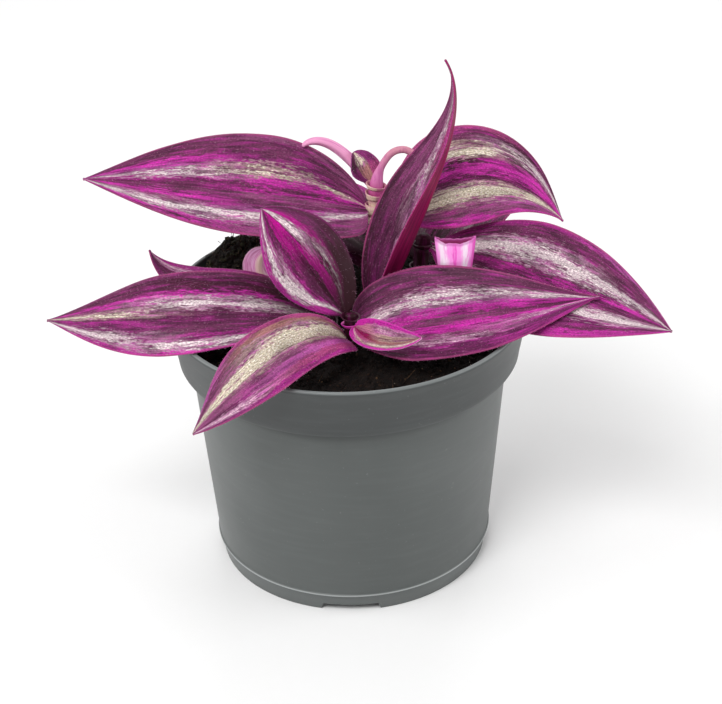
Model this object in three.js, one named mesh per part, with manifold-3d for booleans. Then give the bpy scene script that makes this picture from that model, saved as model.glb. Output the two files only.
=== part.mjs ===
// A potted pink tradescantia: a thin-walled nursery pot, its soil, the shoots and their striped leaves.
// Millimetres, +Z up. The origin is on the pot's axis, on the ground, and the front is toward -Y.
import * as THREE from "three";
import { mergeVertices } from "three/addons/utils/BufferGeometryUtils.js";
import Module from "manifold-3d";

const wasm = await Module();
wasm.setup();

// Pot
const POT_HEIGHT = 94;
const RIM_RADIUS = 60;
const COLLAR_HEIGHT = 18;
const SHELF_HEIGHT = POT_HEIGHT - COLLAR_HEIGHT;
const COLLAR_FOOT_RADIUS = 57.2;
const BODY_TOP_RADIUS = 53.3;
const BODY_FOOT_RADIUS = 47.2;
const RIDGE_HEIGHT = 6.8;
const RIDGE_OUT = 0.5;
const FOOT_RADIUS = 46;
const WALL = 1.2;
const EDGE = 0.4;
const ROUNDING = 0.8;
const FLOOR_BOTTOM = 4.6;
const POT_SIDES = 48;
const NOTCH_COUNT = 4;
const NOTCH_WIDTH = 20;
const NOTCH_TOP_WIDTH = 18.4;
const NOTCH_HEIGHT = 2.5;
const NOTCH_TURN = -1.9;
const NOTCH_INNER = FOOT_RADIUS * 0.8;
const NOTCH_OUTER = FOOT_RADIUS + 4;
const DRAIN_COUNT = 8;
const DRAIN_RADIUS = 4;
const DRAIN_CIRCLE = 33;
const DRAIN_SIDES = 16;

// Soil
const GAP = 0.32;
const SOIL_LEVEL = 85;
const HEART_RISE = 4;
const HEART_SPREAD = 26;
const MOUND = { x: -37.5, y: 33, rise: 14.5, spread: 15 };
const CRUMB_HEIGHT = 0.7;
const EDGE_CRUMB_HEIGHT = 0.25;
const SOIL_SLACK = 0.02;
const SOIL_SIDES = 48;
const SOIL_RINGS = 8;

// Shoots
const STEM_SIDES = 12;
const STEM_FOOT = 62;
const LEAF_THICKNESS = 0.8;
const SHEATH_WALL = 0.9;
const SHEATH_HEIGHT = 2.2;
const ROOT_DEPTH = 0.7;
const PETIOLE_HALF_WIDTH = 1.6;
const TIP_HALF_WIDTH = 0.35;
const PETIOLE_END = 0.2;
const SLIM_RUN = 0.12;
const CURVE_STEPS = 400;
const STEM_ROWS = 5;
const STALK_ROWS = 16;
const END_INSET = 0.4;
const END_RISE = 0.5;
const SHEATH_FLARE = [0, 0.1, 0.35];

// A stem is a smooth curve through its points, from its foot in the soil to its end. Where slimZ is
// given, the stem draws in above that height to a thin stalk of radius slim.
const STEMS = {
  back: {
    radius: 2.3,
    slimZ: 125.8,
    slim: 1.2,
    path: [
      [12, 14, STEM_FOOT], [11, 19, 102], [10.2, 21, 122], [11.8, 22, 130.5],
      [16, 22.6, 136.5], [20, 22.4, 137.6], [23.5, 21.8, 136],
    ],
  },
  front: {
    radius: 1.9,
    path: [[0, -16, STEM_FOOT], [0.3, -21.5, 88.5], [0.9, -25.2, 96.5], [1, -25.2, 102.3]],
  },
  left: { radius: 2.2, path: [[-7, -6, STEM_FOOT], [-7, -11, 88], [-6.6, -12.8, 94]] },
  upright: { radius: 2.2, path: [[9, -4.6, STEM_FOOT], [8.8, -4.8, 78], [8.5, -5.1, 93]] },
  right: { radius: 2.5, path: [[20, 8, STEM_FOOT], [24, 12, 94], [26, 14, 109.5]] },
  stub: { radius: 2.2, path: [[31, -10, STEM_FOOT], [34, -10, 90], [35.2, -10, 108]] },
  young: { radius: 1.9, path: [[-12, 9, STEM_FOOT], [-13, 8.7, 88], [-13.4, 8.6, 99.2]] },
};

// A leaf grows from its stem at height z. Along it, from base to tip, azimuth (turned from +X toward
// +Y), pitch and roll run as Bezier curves of their own through the values given, in degrees.
// A positive roll lifts the right margin, as seen from the base. Across it, each half leaves the midrib
// at the angle fold and bends down by curl toward the margin. Outline holds the place of the greatest
// width and how round the base and the tip are, and leftBase and rightFold are for one half alone.
// Shares widen or narrow the right and the left half.
const FULL = [0.42, 0.38, 0.95];
const LEAVES = {
  leaf_upper_left: {
    stem: "back", z: 117.2, azimuth: [184.4], pitch: [15.3, 9.7, 6], roll: [33.2, 31.5],
    length: 94.7, width: 38.8, outline: [0.38, 0.61, 1], leftBase: 0.15, fold: [29, 10.5], curl: [20],
    shares: [1.08, 1],
  },
  leaf_lower_left: {
    stem: "left", z: 93.3, azimuth: [201.5, 181.4, 148.5], pitch: [27.6, -9, -17.5], roll: [24, 40],
    length: 95.3, width: 30.4, outline: [0.51, 0.25, 1.08], leftBase: 0.66, fold: [26.7, -14.7], curl: [20],
  },
  leaf_behind_left: {
    stem: "left", z: 92.2, azimuth: [162, 163, 162], pitch: [19, 10, 5, -18, 74], roll: [10],
    length: 63.5, width: 23, outline: FULL, fold: [15], curl: [20],
  },
  leaf_middle: {
    stem: "front", z: 101.2, azimuth: [133.7, 152.7], pitch: [42.6, 40.9], roll: [52.3, 32.1],
    length: 43.5, width: 27.4, outline: [0.5, 0.41, 0.74], leftBase: 0.7, fold: [28.4], curl: [20],
  },
  leaf_over_rim: {
    stem: "front", z: 93.6, azimuth: [226, 236.9, 199.7], pitch: [37.2, -12.4, -46.7], roll: [42.5, 6.2],
    length: 70, width: 21.4, outline: [0.56, 0.55, 0.82], leftBase: 0.15, fold: [41, -3.5], curl: [20],
    shares: [1, 1.06],
  },
  leaf_front_right: {
    stem: "front", z: 90.9, azimuth: [0.2, -6.8], pitch: [18.4, 4.9, 13.2], roll: [-20.4, -60.3],
    length: 79.2, width: 37.5, outline: [0.24, 0.63, 1.2], leftBase: 0.25, fold: [38.2, 21.6], curl: [20],
  },
  leaf_right: {
    stem: "right", z: 106.5, azimuth: [-34, -37, -40], pitch: [0, -2, -4], roll: [-42, -34],
    length: 91.3, width: 39, outline: [0.42, 0.8, 0.95], fold: [15], curl: [20],
  },
  leaf_upper_right: {
    stem: "back", z: 113.6, azimuth: [4, 2, -8], pitch: [26, 60, -47, -51], roll: [-19, -48, -22],
    length: 69, width: 39, outline: [0.39, 0.73, 1.14], fold: [16], curl: [18],
  },
  leaf_upright: {
    stem: "upright", z: 90.8, azimuth: [29.6, 24.1], pitch: [59.2, 67.9, 57.2, 65.1, 119.4],
    roll: [-7.7, -3.8], length: 90.9, width: 31.9, outline: [0.36, 0.4, 2.06],
    fold: [53.6, 40], rightFold: [80, 66.7, 43.7],
    curl: [20], shares: [0.96, 0.99],
  },
  leaf_back_left: {
    stem: "back", z: 100, azimuth: [120, 132, 140], pitch: [26, 2, -22], roll: [0],
    length: 62, width: 34, outline: FULL, fold: [15], curl: [20], rows: 12,
  },
  leaf_back_right: {
    stem: "right", z: 98.5, azimuth: [60, 56, 50], pitch: [26, 4, -25], roll: [0],
    length: 62, width: 34, outline: FULL, fold: [15], curl: [20], rows: 12,
  },
  leaf_back: {
    stem: "back", z: 94, azimuth: [100, 95, 90], pitch: [24, 6, -12], roll: [0],
    length: 42, width: 28, outline: FULL, fold: [15], curl: [20], rows: 12,
  },
  young_leaf_left: {
    stem: "young", z: 95.5, azimuth: [188, 186, 180], pitch: [-6, -4, 90, 140], roll: [-80],
    length: 25, width: 12, outline: [0.6, 0.4, 0.5], fold: [30, 20], curl: [20], rows: 10,
  },
  young_leaf_front: {
    stem: "front", z: 98.8, azimuth: [-55, -30, -5], pitch: [-10, 5, 22], roll: [-40],
    length: 25, width: 14, outline: [0.4, 0.45, 0.7], fold: [40, 30], curl: [-20], rows: 10,
  },
  young_leaf_rolled: {
    stem: "back", z: 121.9, azimuth: [114, 193, 188], pitch: [27.2, 58, 52, 48, -36], roll: [-102],
    length: 31.4, width: 9, outline: [0.3, 0.3, 0.4], fold: [10], curl: [-130], rows: 12,
  },
  young_leaf_round: {
    stem: "back", z: 124.9, azimuth: [118, 160], pitch: [45, 48], roll: [10],
    length: 12, width: 12, outline: [0.5, 0.6, 0.45], fold: [20], curl: [20], rows: 8,
  },
};
const LEAF_ROWS = 15;
const LEAF_COLUMNS = 6;
const MIDRIB_STEPS = 200;

// The short sheath that is left of a leaf: a flared, flattened tube with two raised corners.
const STUB = {
  bottomZ: 104, height: 16.5, halfWidth: 6.7, halfDepth: 3.1, wall: 0.8, corner: 1.6,
  flare: 0.8, leanEnd: 107, sides: 20, rows: 5, opening: 3, foot: 2,
};

const UP = new THREE.Vector3(0, 0, 1);

function material(name, color, roughness) {
  return new THREE.MeshStandardMaterial({ name, color, roughness, metalness: 0 });
}

const MATERIALS = {
  pot: material("pot plastic", 0x74787b, 0.45),
  soil: material("peat", 0x1d1510, 0.95),
  stem: material("stem", 0xc86f9e, 0.5),
  leaf: material("leaf", 0x8d2a6d, 0.4),
  young: material("young leaf", 0xc9609f, 0.45),
  sheath: material("sheath", 0xe08cc4, 0.45),
};

// Closed geometry from points and triangles.
function geometryFrom(points, triangles) {
  const geometry = new THREE.BufferGeometry();
  const values = points.flatMap((p) => [p.x, p.y, p.z]);
  geometry.setAttribute("position", new THREE.Float32BufferAttribute(values, 3));
  geometry.setIndex(triangles.flat());
  return geometry;
}

function toManifold(geometry) {
  const bare = geometry.clone();
  bare.deleteAttribute("normal");
  bare.deleteAttribute("uv");
  const merged = mergeVertices(bare, 1e-4);
  return new wasm.Manifold(new wasm.Mesh({
    numProp: 3,
    vertProperties: new Float32Array(merged.attributes.position.array),
    triVerts: new Uint32Array(merged.index.array),
  }));
}

function toGeometry(solid) {
  const mesh = solid.getMesh();
  const geometry = new THREE.BufferGeometry();
  geometry.setAttribute("position", new THREE.Float32BufferAttribute(mesh.vertProperties, 3));
  geometry.setIndex([...mesh.triVerts]);
  return geometry;
}

// The largest of the bodies that a cut leaves.
function mainBody(solid) {
  return solid.decompose().reduce((best, body) => (body.volume() > best.volume() ? body : best));
}

// A closed skin over rings of equal point count, each counter-clockwise as seen from the last ring.
function loft(rings) {
  const count = rings[0].length;
  const points = rings.flat();
  const triangles = [];
  for (let i = 0; i + 1 < rings.length; i += 1) {
    for (let j = 0; j < count; j += 1) {
      const k = (j + 1) % count;
      const [a, b, c, d] = [i * count + j, i * count + k, (i + 1) * count + k, (i + 1) * count + j];
      triangles.push([a, b, c], [a, c, d]);
    }
  }
  const last = (rings.length - 1) * count;
  for (let j = 1; j + 1 < count; j += 1) {
    triangles.push([0, j + 1, j], [last, last + j, last + j + 1]);
  }
  return geometryFrom(points, triangles);
}

// Pot

function potProfile() {
  const outside = [
    [FOOT_RADIUS, 0],
    [FOOT_RADIUS + ROUNDING, RIDGE_HEIGHT - EDGE],
    [BODY_FOOT_RADIUS + RIDGE_OUT, RIDGE_HEIGHT],
    [BODY_FOOT_RADIUS + RIDGE_OUT, RIDGE_HEIGHT + EDGE],
    [BODY_FOOT_RADIUS, RIDGE_HEIGHT + ROUNDING],
    [BODY_TOP_RADIUS, SHELF_HEIGHT - 2 * ROUNDING],
    [BODY_TOP_RADIUS + ROUNDING, SHELF_HEIGHT - EDGE],
    [COLLAR_FOOT_RADIUS - ROUNDING, SHELF_HEIGHT],
    [COLLAR_FOOT_RADIUS, SHELF_HEIGHT + ROUNDING],
    [RIM_RADIUS, POT_HEIGHT - EDGE],
    [RIM_RADIUS - EDGE, POT_HEIGHT],
  ];
  const underside = [
    [0, FLOOR_BOTTOM],
    [FOOT_RADIUS - WALL - ROUNDING, FLOOR_BOTTOM],
    [FOOT_RADIUS - WALL - EDGE, 0],
  ];
  return [...outside, ...potInside(), ...underside, outside[0]].map(([r, z]) => new THREE.Vector2(r, z));
}

// A lathe turned so that its axis is +Z.
function turned(profile, sides) {
  return new THREE.LatheGeometry(profile, sides).rotateX(Math.PI / 2);
}

function footNotch(angle) {
  const shape = new THREE.Shape([
    new THREE.Vector2(-NOTCH_WIDTH / 2, -NOTCH_HEIGHT),
    new THREE.Vector2(NOTCH_WIDTH / 2, -NOTCH_HEIGHT),
    new THREE.Vector2(NOTCH_WIDTH / 2, 0),
    new THREE.Vector2(NOTCH_TOP_WIDTH / 2, NOTCH_HEIGHT),
    new THREE.Vector2(-NOTCH_TOP_WIDTH / 2, NOTCH_HEIGHT),
    new THREE.Vector2(-NOTCH_WIDTH / 2, 0),
  ]);
  const depth = NOTCH_OUTER - NOTCH_INNER;
  const geometry = new THREE.ExtrudeGeometry(shape, { depth, bevelEnabled: false });
  geometry.rotateX(Math.PI / 2);
  geometry.translate(0, -NOTCH_INNER, 0);
  geometry.rotateZ(angle);
  return toManifold(geometry);
}

function drainHole(radius, angle) {
  const geometry = new THREE.CylinderGeometry(DRAIN_RADIUS, DRAIN_RADIUS, WALL * 4, DRAIN_SIDES);
  geometry.rotateX(Math.PI / 2);
  geometry.translate(radius * Math.cos(angle), radius * Math.sin(angle), FLOOR_BOTTOM + WALL / 2);
  return toManifold(geometry);
}

function makePot() {
  let pot = toManifold(turned(potProfile(), POT_SIDES));
  for (let i = 0; i < NOTCH_COUNT; i += 1) {
    pot = pot.subtract(footNotch(THREE.MathUtils.degToRad(NOTCH_TURN) + (i * 2 * Math.PI) / NOTCH_COUNT));
  }
  pot = pot.subtract(drainHole(0, 0));
  for (let i = 0; i < DRAIN_COUNT; i += 1) {
    pot = pot.subtract(drainHole(DRAIN_CIRCLE, ((i + 0.5) * 2 * Math.PI) / DRAIN_COUNT));
  }
  return toGeometry(mainBody(pot));
}

// Soil

// A repeatable value from -1 to 1 for each pair of whole numbers.
function crumb(i, j) {
  const value = Math.sin(i * 127.1 + j * 311.7) * 43758.5453;
  return 2 * (value - Math.floor(value)) - 1;
}

function soilHeight(x, y) {
  const heart = HEART_RISE * Math.exp(-(x * x + y * y) / HEART_SPREAD ** 2);
  const away = (x - MOUND.x) ** 2 + (y - MOUND.y) ** 2;
  return SOIL_LEVEL + heart + MOUND.rise * Math.exp(-away / MOUND.spread ** 2);
}

// The pot's inner wall from the rim down to the middle of its floor, as pairs of radius and height.
function potInside() {
  const floorTop = FLOOR_BOTTOM + WALL;
  return [
    [RIM_RADIUS - WALL, POT_HEIGHT],
    [COLLAR_FOOT_RADIUS - WALL, SHELF_HEIGHT + WALL + EDGE],
    [BODY_TOP_RADIUS - WALL, SHELF_HEIGHT + EDGE],
    [BODY_FOOT_RADIUS - WALL, floorTop + WALL],
    [BODY_FOOT_RADIUS - 2 * WALL, floorTop],
    [0, floorTop],
  ];
}

function soilRing(radius, heightAt) {
  return Array.from({ length: SOIL_SIDES }, (_, j) => {
    const angle = (j * 2 * Math.PI) / SOIL_SIDES;
    const x = radius * Math.cos(angle);
    const y = radius * Math.sin(angle);
    return new THREE.Vector3(x, y, heightAt(x, y, j));
  });
}

function makeSoil() {
  const [rim, collar, ...lower] = potInside();
  const share = (SOIL_LEVEL - collar[1]) / (rim[1] - collar[1]);
  const edge = THREE.MathUtils.lerp(collar[0], rim[0], share) - GAP;
  const rings = [collar, ...lower.slice(0, -1)]
    .map(([radius, z]) => soilRing(radius - GAP - SOIL_SLACK, () => z + GAP))
    .reverse();
  for (let i = 0; i < SOIL_RINGS; i += 1) {
    const radius = (edge * (SOIL_RINGS - i)) / SOIL_RINGS;
    const rough = i === 0 ? EDGE_CRUMB_HEIGHT : CRUMB_HEIGHT;
    rings.push(soilRing(radius, (x, y, j) => soilHeight(x, y) + rough * crumb(i, j)));
  }
  const soil = toManifold(loft(rings));
  return Object.values(STEMS).reduce((solid, stem) => solid.subtract(fatStem(stem)), soil);
}

// Stems

function stemCurve(stem) {
  return new THREE.CatmullRomCurve3(stem.path.map((p) => new THREE.Vector3(...p)), false, "centripetal");
}

// Where along the curve, from 0 to 1, the stem first reaches the height z.
function placeAtHeight(stem, z) {
  const curve = stemCurve(stem);
  const steps = CURVE_STEPS;
  for (let i = 1; i <= steps; i += 1) {
    const [before, after] = [curve.getPoint((i - 1) / steps).z, curve.getPoint(i / steps).z];
    if (after >= z) {
      return (i - 1 + (z - before) / (after - before)) / steps;
    }
  }
  return 1;
}

function stemRadius(stem, place) {
  if (stem.slim === undefined) {
    return stem.radius;
  }
  const start = placeAtHeight(stem, stem.slimZ);
  const share = THREE.MathUtils.clamp((place - start) / SLIM_RUN, 0, 1);
  return THREE.MathUtils.lerp(stem.radius, stem.slim, share);
}

// A ring of the stem's section at a place along it, wider by grow and moved along the stem by shift.
function stemRing(stem, place, grow, shift = 0) {
  const curve = stemCurve(stem);
  const centre = curve.getPoint(place);
  const along = curve.getTangent(place);
  const side = new THREE.Vector3(0, 1, 0).projectOnPlane(along).normalize();
  const across = side.clone().cross(along);
  const radius = stemRadius(stem, place) + grow;
  return Array.from({ length: STEM_SIDES }, (_, i) => {
    const angle = (i * 2 * Math.PI) / STEM_SIDES;
    return centre.clone()
      .addScaledVector(along, shift)
      .addScaledVector(across, radius * Math.cos(angle))
      .addScaledVector(side, radius * Math.sin(angle));
  });
}

function stemPlaces(stem) {
  const count = stem.slim === undefined ? STEM_ROWS : STALK_ROWS;
  return Array.from({ length: count + 1 }, (_, i) => i / count);
}

function makeStem(stem) {
  const rings = stemPlaces(stem).map((place) => stemRing(stem, place, 0));
  const end = stemRadius(stem, 1);
  rings.push(stemRing(stem, 1, -end * END_INSET, end * END_RISE));
  return loft(rings);
}

// The stem with room around it, for cutting.
function fatStem(stem) {
  const rings = stemPlaces(stem).map((place) => stemRing(stem, place, GAP));
  rings.unshift(stemRing(stem, 0, GAP, -GAP));
  rings.push(stemRing(stem, 1, GAP, stemRadius(stem, 0)));
  return toManifold(loft(rings));
}

// A short closed length of the stem's shape, wider than the stem, which becomes the leaf's sheath.
function sheathBlock(stem, z) {
  const half = SHEATH_HEIGHT / 2 / stemCurve(stem).getLength();
  const place = placeAtHeight(stem, z);
  const grow = GAP + SHEATH_WALL;
  return toManifold(loft([
    stemRing(stem, place - half, grow + SHEATH_FLARE[0]),
    stemRing(stem, place, grow + SHEATH_FLARE[1]),
    stemRing(stem, place + half, grow + SHEATH_FLARE[2]),
  ]));
}

// Leaves

// The value at t of the Bezier curve that the values control.
function bezier(values, t) {
  let row = values;
  while (row.length > 1) {
    row = row.slice(1).map((next, i) => THREE.MathUtils.lerp(row[i], next, t));
  }
  return row[0];
}

function angleAt(values, t) {
  return THREE.MathUtils.degToRad(bezier(values, t));
}

// The midrib's direction, the direction of the leaf's right and its upper face's direction at t.
function leafFrame(leaf, t) {
  const azimuth = angleAt(leaf.azimuth, t);
  const pitch = angleAt(leaf.pitch, t);
  const roll = angleAt(leaf.roll, t);
  const along = new THREE.Vector3(
    Math.cos(azimuth) * Math.cos(pitch),
    Math.sin(azimuth) * Math.cos(pitch),
    Math.sin(pitch),
  );
  const level = new THREE.Vector3(Math.sin(azimuth), -Math.cos(azimuth), 0);
  const right = level.applyAxisAngle(along, -roll);
  const face = right.clone().cross(along);
  return { along, right, face };
}

function leafBase(leaf) {
  const stem = STEMS[leaf.stem];
  const point = stemCurve(stem).getPoint(placeAtHeight(stem, leaf.z));
  const azimuth = angleAt(leaf.azimuth, 0);
  const reach = stem.radius + ROOT_DEPTH;
  return point.add(new THREE.Vector3(reach * Math.cos(azimuth), reach * Math.sin(azimuth), 0));
}

// Points along the midrib at the given places, worked out by small steps from the base.
function midrib(leaf, places) {
  const points = [leafBase(leaf)];
  for (let i = 0; i < MIDRIB_STEPS; i += 1) {
    const { along } = leafFrame(leaf, (i + 0.5) / MIDRIB_STEPS);
    points.push(points[i].clone().addScaledVector(along, leaf.length / MIDRIB_STEPS));
  }
  return places.map((t) => {
    const i = Math.min(Math.floor(t * MIDRIB_STEPS), MIDRIB_STEPS - 1);
    return points[i].clone().lerp(points[i + 1], t * MIDRIB_STEPS - i);
  });
}

// The blade's reach at t on the side of u, along its bent section.
function halfWidth(leaf, t, u) {
  const [peak, rightBase, tip] = leaf.outline;
  const base = u < 0 ? (leaf.leftBase ?? rightBase) : rightBase;
  const [rightShare, leftShare] = leaf.shares ?? [1, 1];
  const share = t < peak
    ? Math.sin((Math.PI / 2) * (t / peak)) ** base
    : Math.sin((Math.PI / 2) * ((1 - t) / (1 - peak))) ** tip;
  const least = t < PETIOLE_END ? PETIOLE_HALF_WIDTH : TIP_HALF_WIDTH;
  return Math.max((leaf.width / 2) * share, least) * (u > 0 ? rightShare : leftShare);
}

// The section's offset from the midrib at u, from -1 at the left margin to 1 at the right one, in
// half widths: sideways, and up from the midrib.
function section(leaf, t, u) {
  const fold = angleAt(u > 0 ? (leaf.rightFold ?? leaf.fold) : leaf.fold, t);
  const curl = angleAt(leaf.curl, t);
  const bent = fold - curl * Math.abs(u);
  return {
    side: (Math.sign(u) * (Math.sin(fold) - Math.sin(bent))) / curl,
    rise: (Math.cos(bent) - Math.cos(fold)) / curl,
  };
}

// The leaf's middle surface: rows from base to tip, each with points from the left margin to the right.
function leafSurface(leaf, rowCount, columnCount) {
  const turns = Array.from({ length: rowCount + 1 }, (_, i) => (Math.PI * i) / rowCount);
  const places = turns.map((turn) => (1 - Math.cos(turn)) / 2);
  const centres = midrib(leaf, places);
  return places.map((t, i) => {
    const { right, face } = leafFrame(leaf, t);
    return Array.from({ length: columnCount + 1 }, (_, j) => {
      const u = (2 * j) / columnCount - 1;
      const { side, rise } = section(leaf, t, u);
      const reach = halfWidth(leaf, t, u);
      return centres[i].clone().addScaledVector(right, reach * side).addScaledVector(face, reach * rise);
    });
  });
}

// The direction that the upper face has at a point of the surface.
function faceNormal(rows, i, j) {
  const last = rows.length - 1;
  const edge = rows[0].length - 1;
  const along = rows[Math.min(i + 1, last)][j].clone().sub(rows[Math.max(i - 1, 0)][j]);
  const across = rows[i][Math.min(j + 1, edge)].clone().sub(rows[i][Math.max(j - 1, 0)]);
  return across.cross(along).normalize();
}

// A blade of even thickness over the surface. Both faces are split into triangles alike.
function bladeGeometry(rows, thickness) {
  const columns = rows[0].length;
  const offset = (sign) => rows.flatMap((row, i) => row.map((point, j) => (
    point.clone().addScaledVector(faceNormal(rows, i, j), (sign * thickness) / 2)
  )));
  const points = [...offset(1), ...offset(-1)];
  const lower = rows.length * columns;
  const at = (i, j) => i * columns + j;
  const triangles = [];
  for (let i = 0; i + 1 < rows.length; i += 1) {
    for (let j = 0; j + 1 < columns; j += 1) {
      const [a, b, c, d] = [at(i, j), at(i, j + 1), at(i + 1, j + 1), at(i + 1, j)];
      const faces = j < (columns - 1) / 2 ? [[a, b, c], [a, c, d]] : [[a, b, d], [b, c, d]];
      faces.forEach(([p, q, r]) => triangles.push([p, q, r], [lower + p, lower + r, lower + q]));
    }
  }
  const rim = [
    ...rows.map((_, i) => at(i, columns - 1)),
    ...rows[0].map((_, j) => at(rows.length - 1, columns - 1 - j)).slice(1),
    ...rows.map((_, i) => at(rows.length - 1 - i, 0)).slice(1),
    ...rows[0].map((_, j) => at(0, j)).slice(1, -1),
  ];
  rim.forEach((p, k) => {
    const q = rim[(k + 1) % rim.length];
    triangles.push([p, lower + p, q], [q, lower + p, lower + q]);
  });
  return geometryFrom(points, triangles);
}

function makeLeaf(leaf) {
  const stem = STEMS[leaf.stem];
  const rows = leafSurface(leaf, leaf.rows ?? LEAF_ROWS, LEAF_COLUMNS);
  const blade = toManifold(bladeGeometry(rows, LEAF_THICKNESS));
  const joined = blade.add(sheathBlock(stem, leaf.z)).subtract(fatStem(stem));
  return toGeometry(mainBody(joined));
}

// The left-over sheath around the end of its stem, open at the top.
function makeSheathStub() {
  const stem = STEMS.stub;
  const foot = stem.radius + GAP;
  const ring = (share, inset) => {
    const z = STUB.bottomZ + share * STUB.height;
    const centre = stemCurve(stem).getPoint(placeAtHeight(stem, Math.min(z, STUB.leanEnd)));
    const flare = share ** STUB.flare;
    return Array.from({ length: STUB.sides }, (_, i) => {
      const angle = (i * 2 * Math.PI) / STUB.sides;
      const wide = THREE.MathUtils.lerp(foot + STUB.wall, STUB.halfWidth, flare) - inset;
      const deep = THREE.MathUtils.lerp(foot + STUB.wall, STUB.halfDepth, flare) - inset;
      const lift = share * STUB.corner * (Math.abs(Math.cos(angle)) ** 3 - 0.5);
      return new THREE.Vector3(
        centre.x + wide * Math.cos(angle),
        centre.y + deep * Math.sin(angle),
        z + lift,
      );
    });
  };
  const shares = Array.from({ length: STUB.rows + 1 }, (_, i) => i / STUB.rows);
  const outer = toManifold(loft(shares.map((share) => ring(share, 0))));
  const innerRings = shares.map((share) => ring(share, STUB.wall));
  innerRings.unshift(innerRings[0].map((p) => p.clone().addScaledVector(UP, -STUB.foot)));
  innerRings.push(innerRings.at(-1).map((p) => p.clone().addScaledVector(UP, STUB.opening)));
  return toGeometry(mainBody(outer.subtract(toManifold(loft(innerRings))).subtract(fatStem(stem))));
}

// The whole plant

function addMesh(group, name, geometry, finish) {
  const mesh = new THREE.Mesh(geometry, finish);
  mesh.name = name;
  group.add(mesh);
}

function finishFor(name) {
  return name.startsWith("young") ? MATERIALS.young : MATERIALS.leaf;
}

const plant = new THREE.Group();
addMesh(plant, "pot", makePot(), MATERIALS.pot);
addMesh(plant, "soil", toGeometry(mainBody(makeSoil())), MATERIALS.soil);
Object.entries(STEMS).forEach(([name, stem]) => {
  addMesh(plant, `stem_${name}`, makeStem(stem), MATERIALS.stem);
});
Object.entries(LEAVES).forEach(([name, leaf]) => {
  addMesh(plant, name, makeLeaf(leaf), finishFor(name));
});
addMesh(plant, "sheath_stub", makeSheathStub(), MATERIALS.sheath);

export default plant;
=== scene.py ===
"""A pink paradise tradescantia growing in a grey nursery pot.

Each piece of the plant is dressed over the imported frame: the pot, the soil, the stems, the striped
leaves and the young growth at their bases. Sizes are in millimetres and become metres where a mesh
is made. The pot stands on the ground with its axis on Z, and the front is toward -Y.
"""

import logging
import math
from dataclasses import dataclass
from enum import Enum

import bpy
import numpy as np
from mathutils import Matrix, Vector

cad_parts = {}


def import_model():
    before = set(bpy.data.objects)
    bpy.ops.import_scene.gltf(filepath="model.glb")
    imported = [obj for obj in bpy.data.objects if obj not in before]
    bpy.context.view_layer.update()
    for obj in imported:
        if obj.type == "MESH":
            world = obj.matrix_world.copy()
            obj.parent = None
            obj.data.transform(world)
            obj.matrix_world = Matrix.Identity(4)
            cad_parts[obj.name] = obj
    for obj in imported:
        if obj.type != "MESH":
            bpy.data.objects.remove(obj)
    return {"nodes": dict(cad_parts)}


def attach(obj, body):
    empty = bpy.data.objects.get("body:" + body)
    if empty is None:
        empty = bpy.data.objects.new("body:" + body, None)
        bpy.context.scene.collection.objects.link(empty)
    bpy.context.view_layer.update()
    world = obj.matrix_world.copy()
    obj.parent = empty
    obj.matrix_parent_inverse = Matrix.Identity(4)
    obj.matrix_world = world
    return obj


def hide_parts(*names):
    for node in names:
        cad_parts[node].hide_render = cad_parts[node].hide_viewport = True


LOG = logging.getLogger("potted_tradescantia")
MM = 0.001
FULL_TURN = 2 * math.pi


class Tint(Enum):
    """The plant's colours, as they look in even white light; some dark and pale ones also paint shade and
    highlights.
    """

    ROSE = "aa427a"
    HOT = "cb2ca6"
    MAGENTA = "a01f80"
    ORCHID = "b0509a"
    PURPLE = "7c2364"
    PLUM = "5a1944"
    MAUVE = "86446d"
    BROWN = "682a50"
    WINE = "430c2b"
    NIGHT = "26020f"
    CRIMSON = "8e0a4c"
    MOSS = "24240f"
    GARNET = "520730"
    RASPBERRY = "a8286e"
    SILVER = "d6c2c8"
    GREEN = "ccc2a6"
    SHELL = "dba9c6"
    CREAM = "ddc7ae"
    BLUSH = "d079ae"
    TAN = "a5726c"
    PEAT = "0e0706"
    LOAM = "21130d"
    STRAW = "775a40"
    CHALK = "c9c2b4"
    GREY = "535756"
    DIM_GREY = "4c504f"
    DARK_GREY = "303334"
    PALE_GREY = "8b9090"
    LIGHT_GREY = "b4b8b8"
    PINK = "c78598"
    PETAL = "f2b9e4"
    FLUSH = "eca2ca"
    GLOW = "ff9ae8"
    MILK = "ffe8fb"
    FUCHSIA = "f05cc8"
    BLAZE = "bc008e"
    FLOOR = "f4f4f4"

    def linear(self) -> tuple[float, float, float, float]:
        """Turn the colour linear.

        Returns:
            Its red, green, blue and alpha.
        """
        parts = [int(self.value[i:i + 2], 16) / 255 for i in (0, 2, 4)]
        red, green, blue = (p / 12.92 if p <= 0.04045 else ((p + 0.055) / 1.055) ** 2.4 for p in parts)
        return (red, green, blue, 1.0)


# Linear colours of the silver's olive grains, of its pale speckle and painted glints, and of the dark patches.
OLIVE = (0.17, 0.14, 0.07, 1.0)
SPECKLE_AND_GLINT = (1.0, 0.9, 0.87, 1.0)
DEEP = (0.036, 0.003, 0.02, 1.0)

# The share of silver grains in a band, by its tint.
SILVER_SHARE = {Tint.SILVER: 1.0, Tint.GREEN: 1.0, Tint.SHELL: 0.75, Tint.CREAM: 0.5}
SILVER_EDGE = 0.35
SILVER_CORE = (0.3, 0.7)
BAND_SOFTNESS = 0.035

# Where nearly all of a noise's values lie.
NOISE_RANGE = (0.3, 0.7)


def bands(text: str) -> list[tuple[float, Tint]]:
    """Read a line such as "-0.5 plum, 1 rose".

    Args:
        text: Places, each with the tint that holds up to it or at it.

    Returns:
        The places and their tints.
    """
    return [(float(place), Tint[tint.upper()]) for place, tint in (item.split() for item in text.split(","))]


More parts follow.
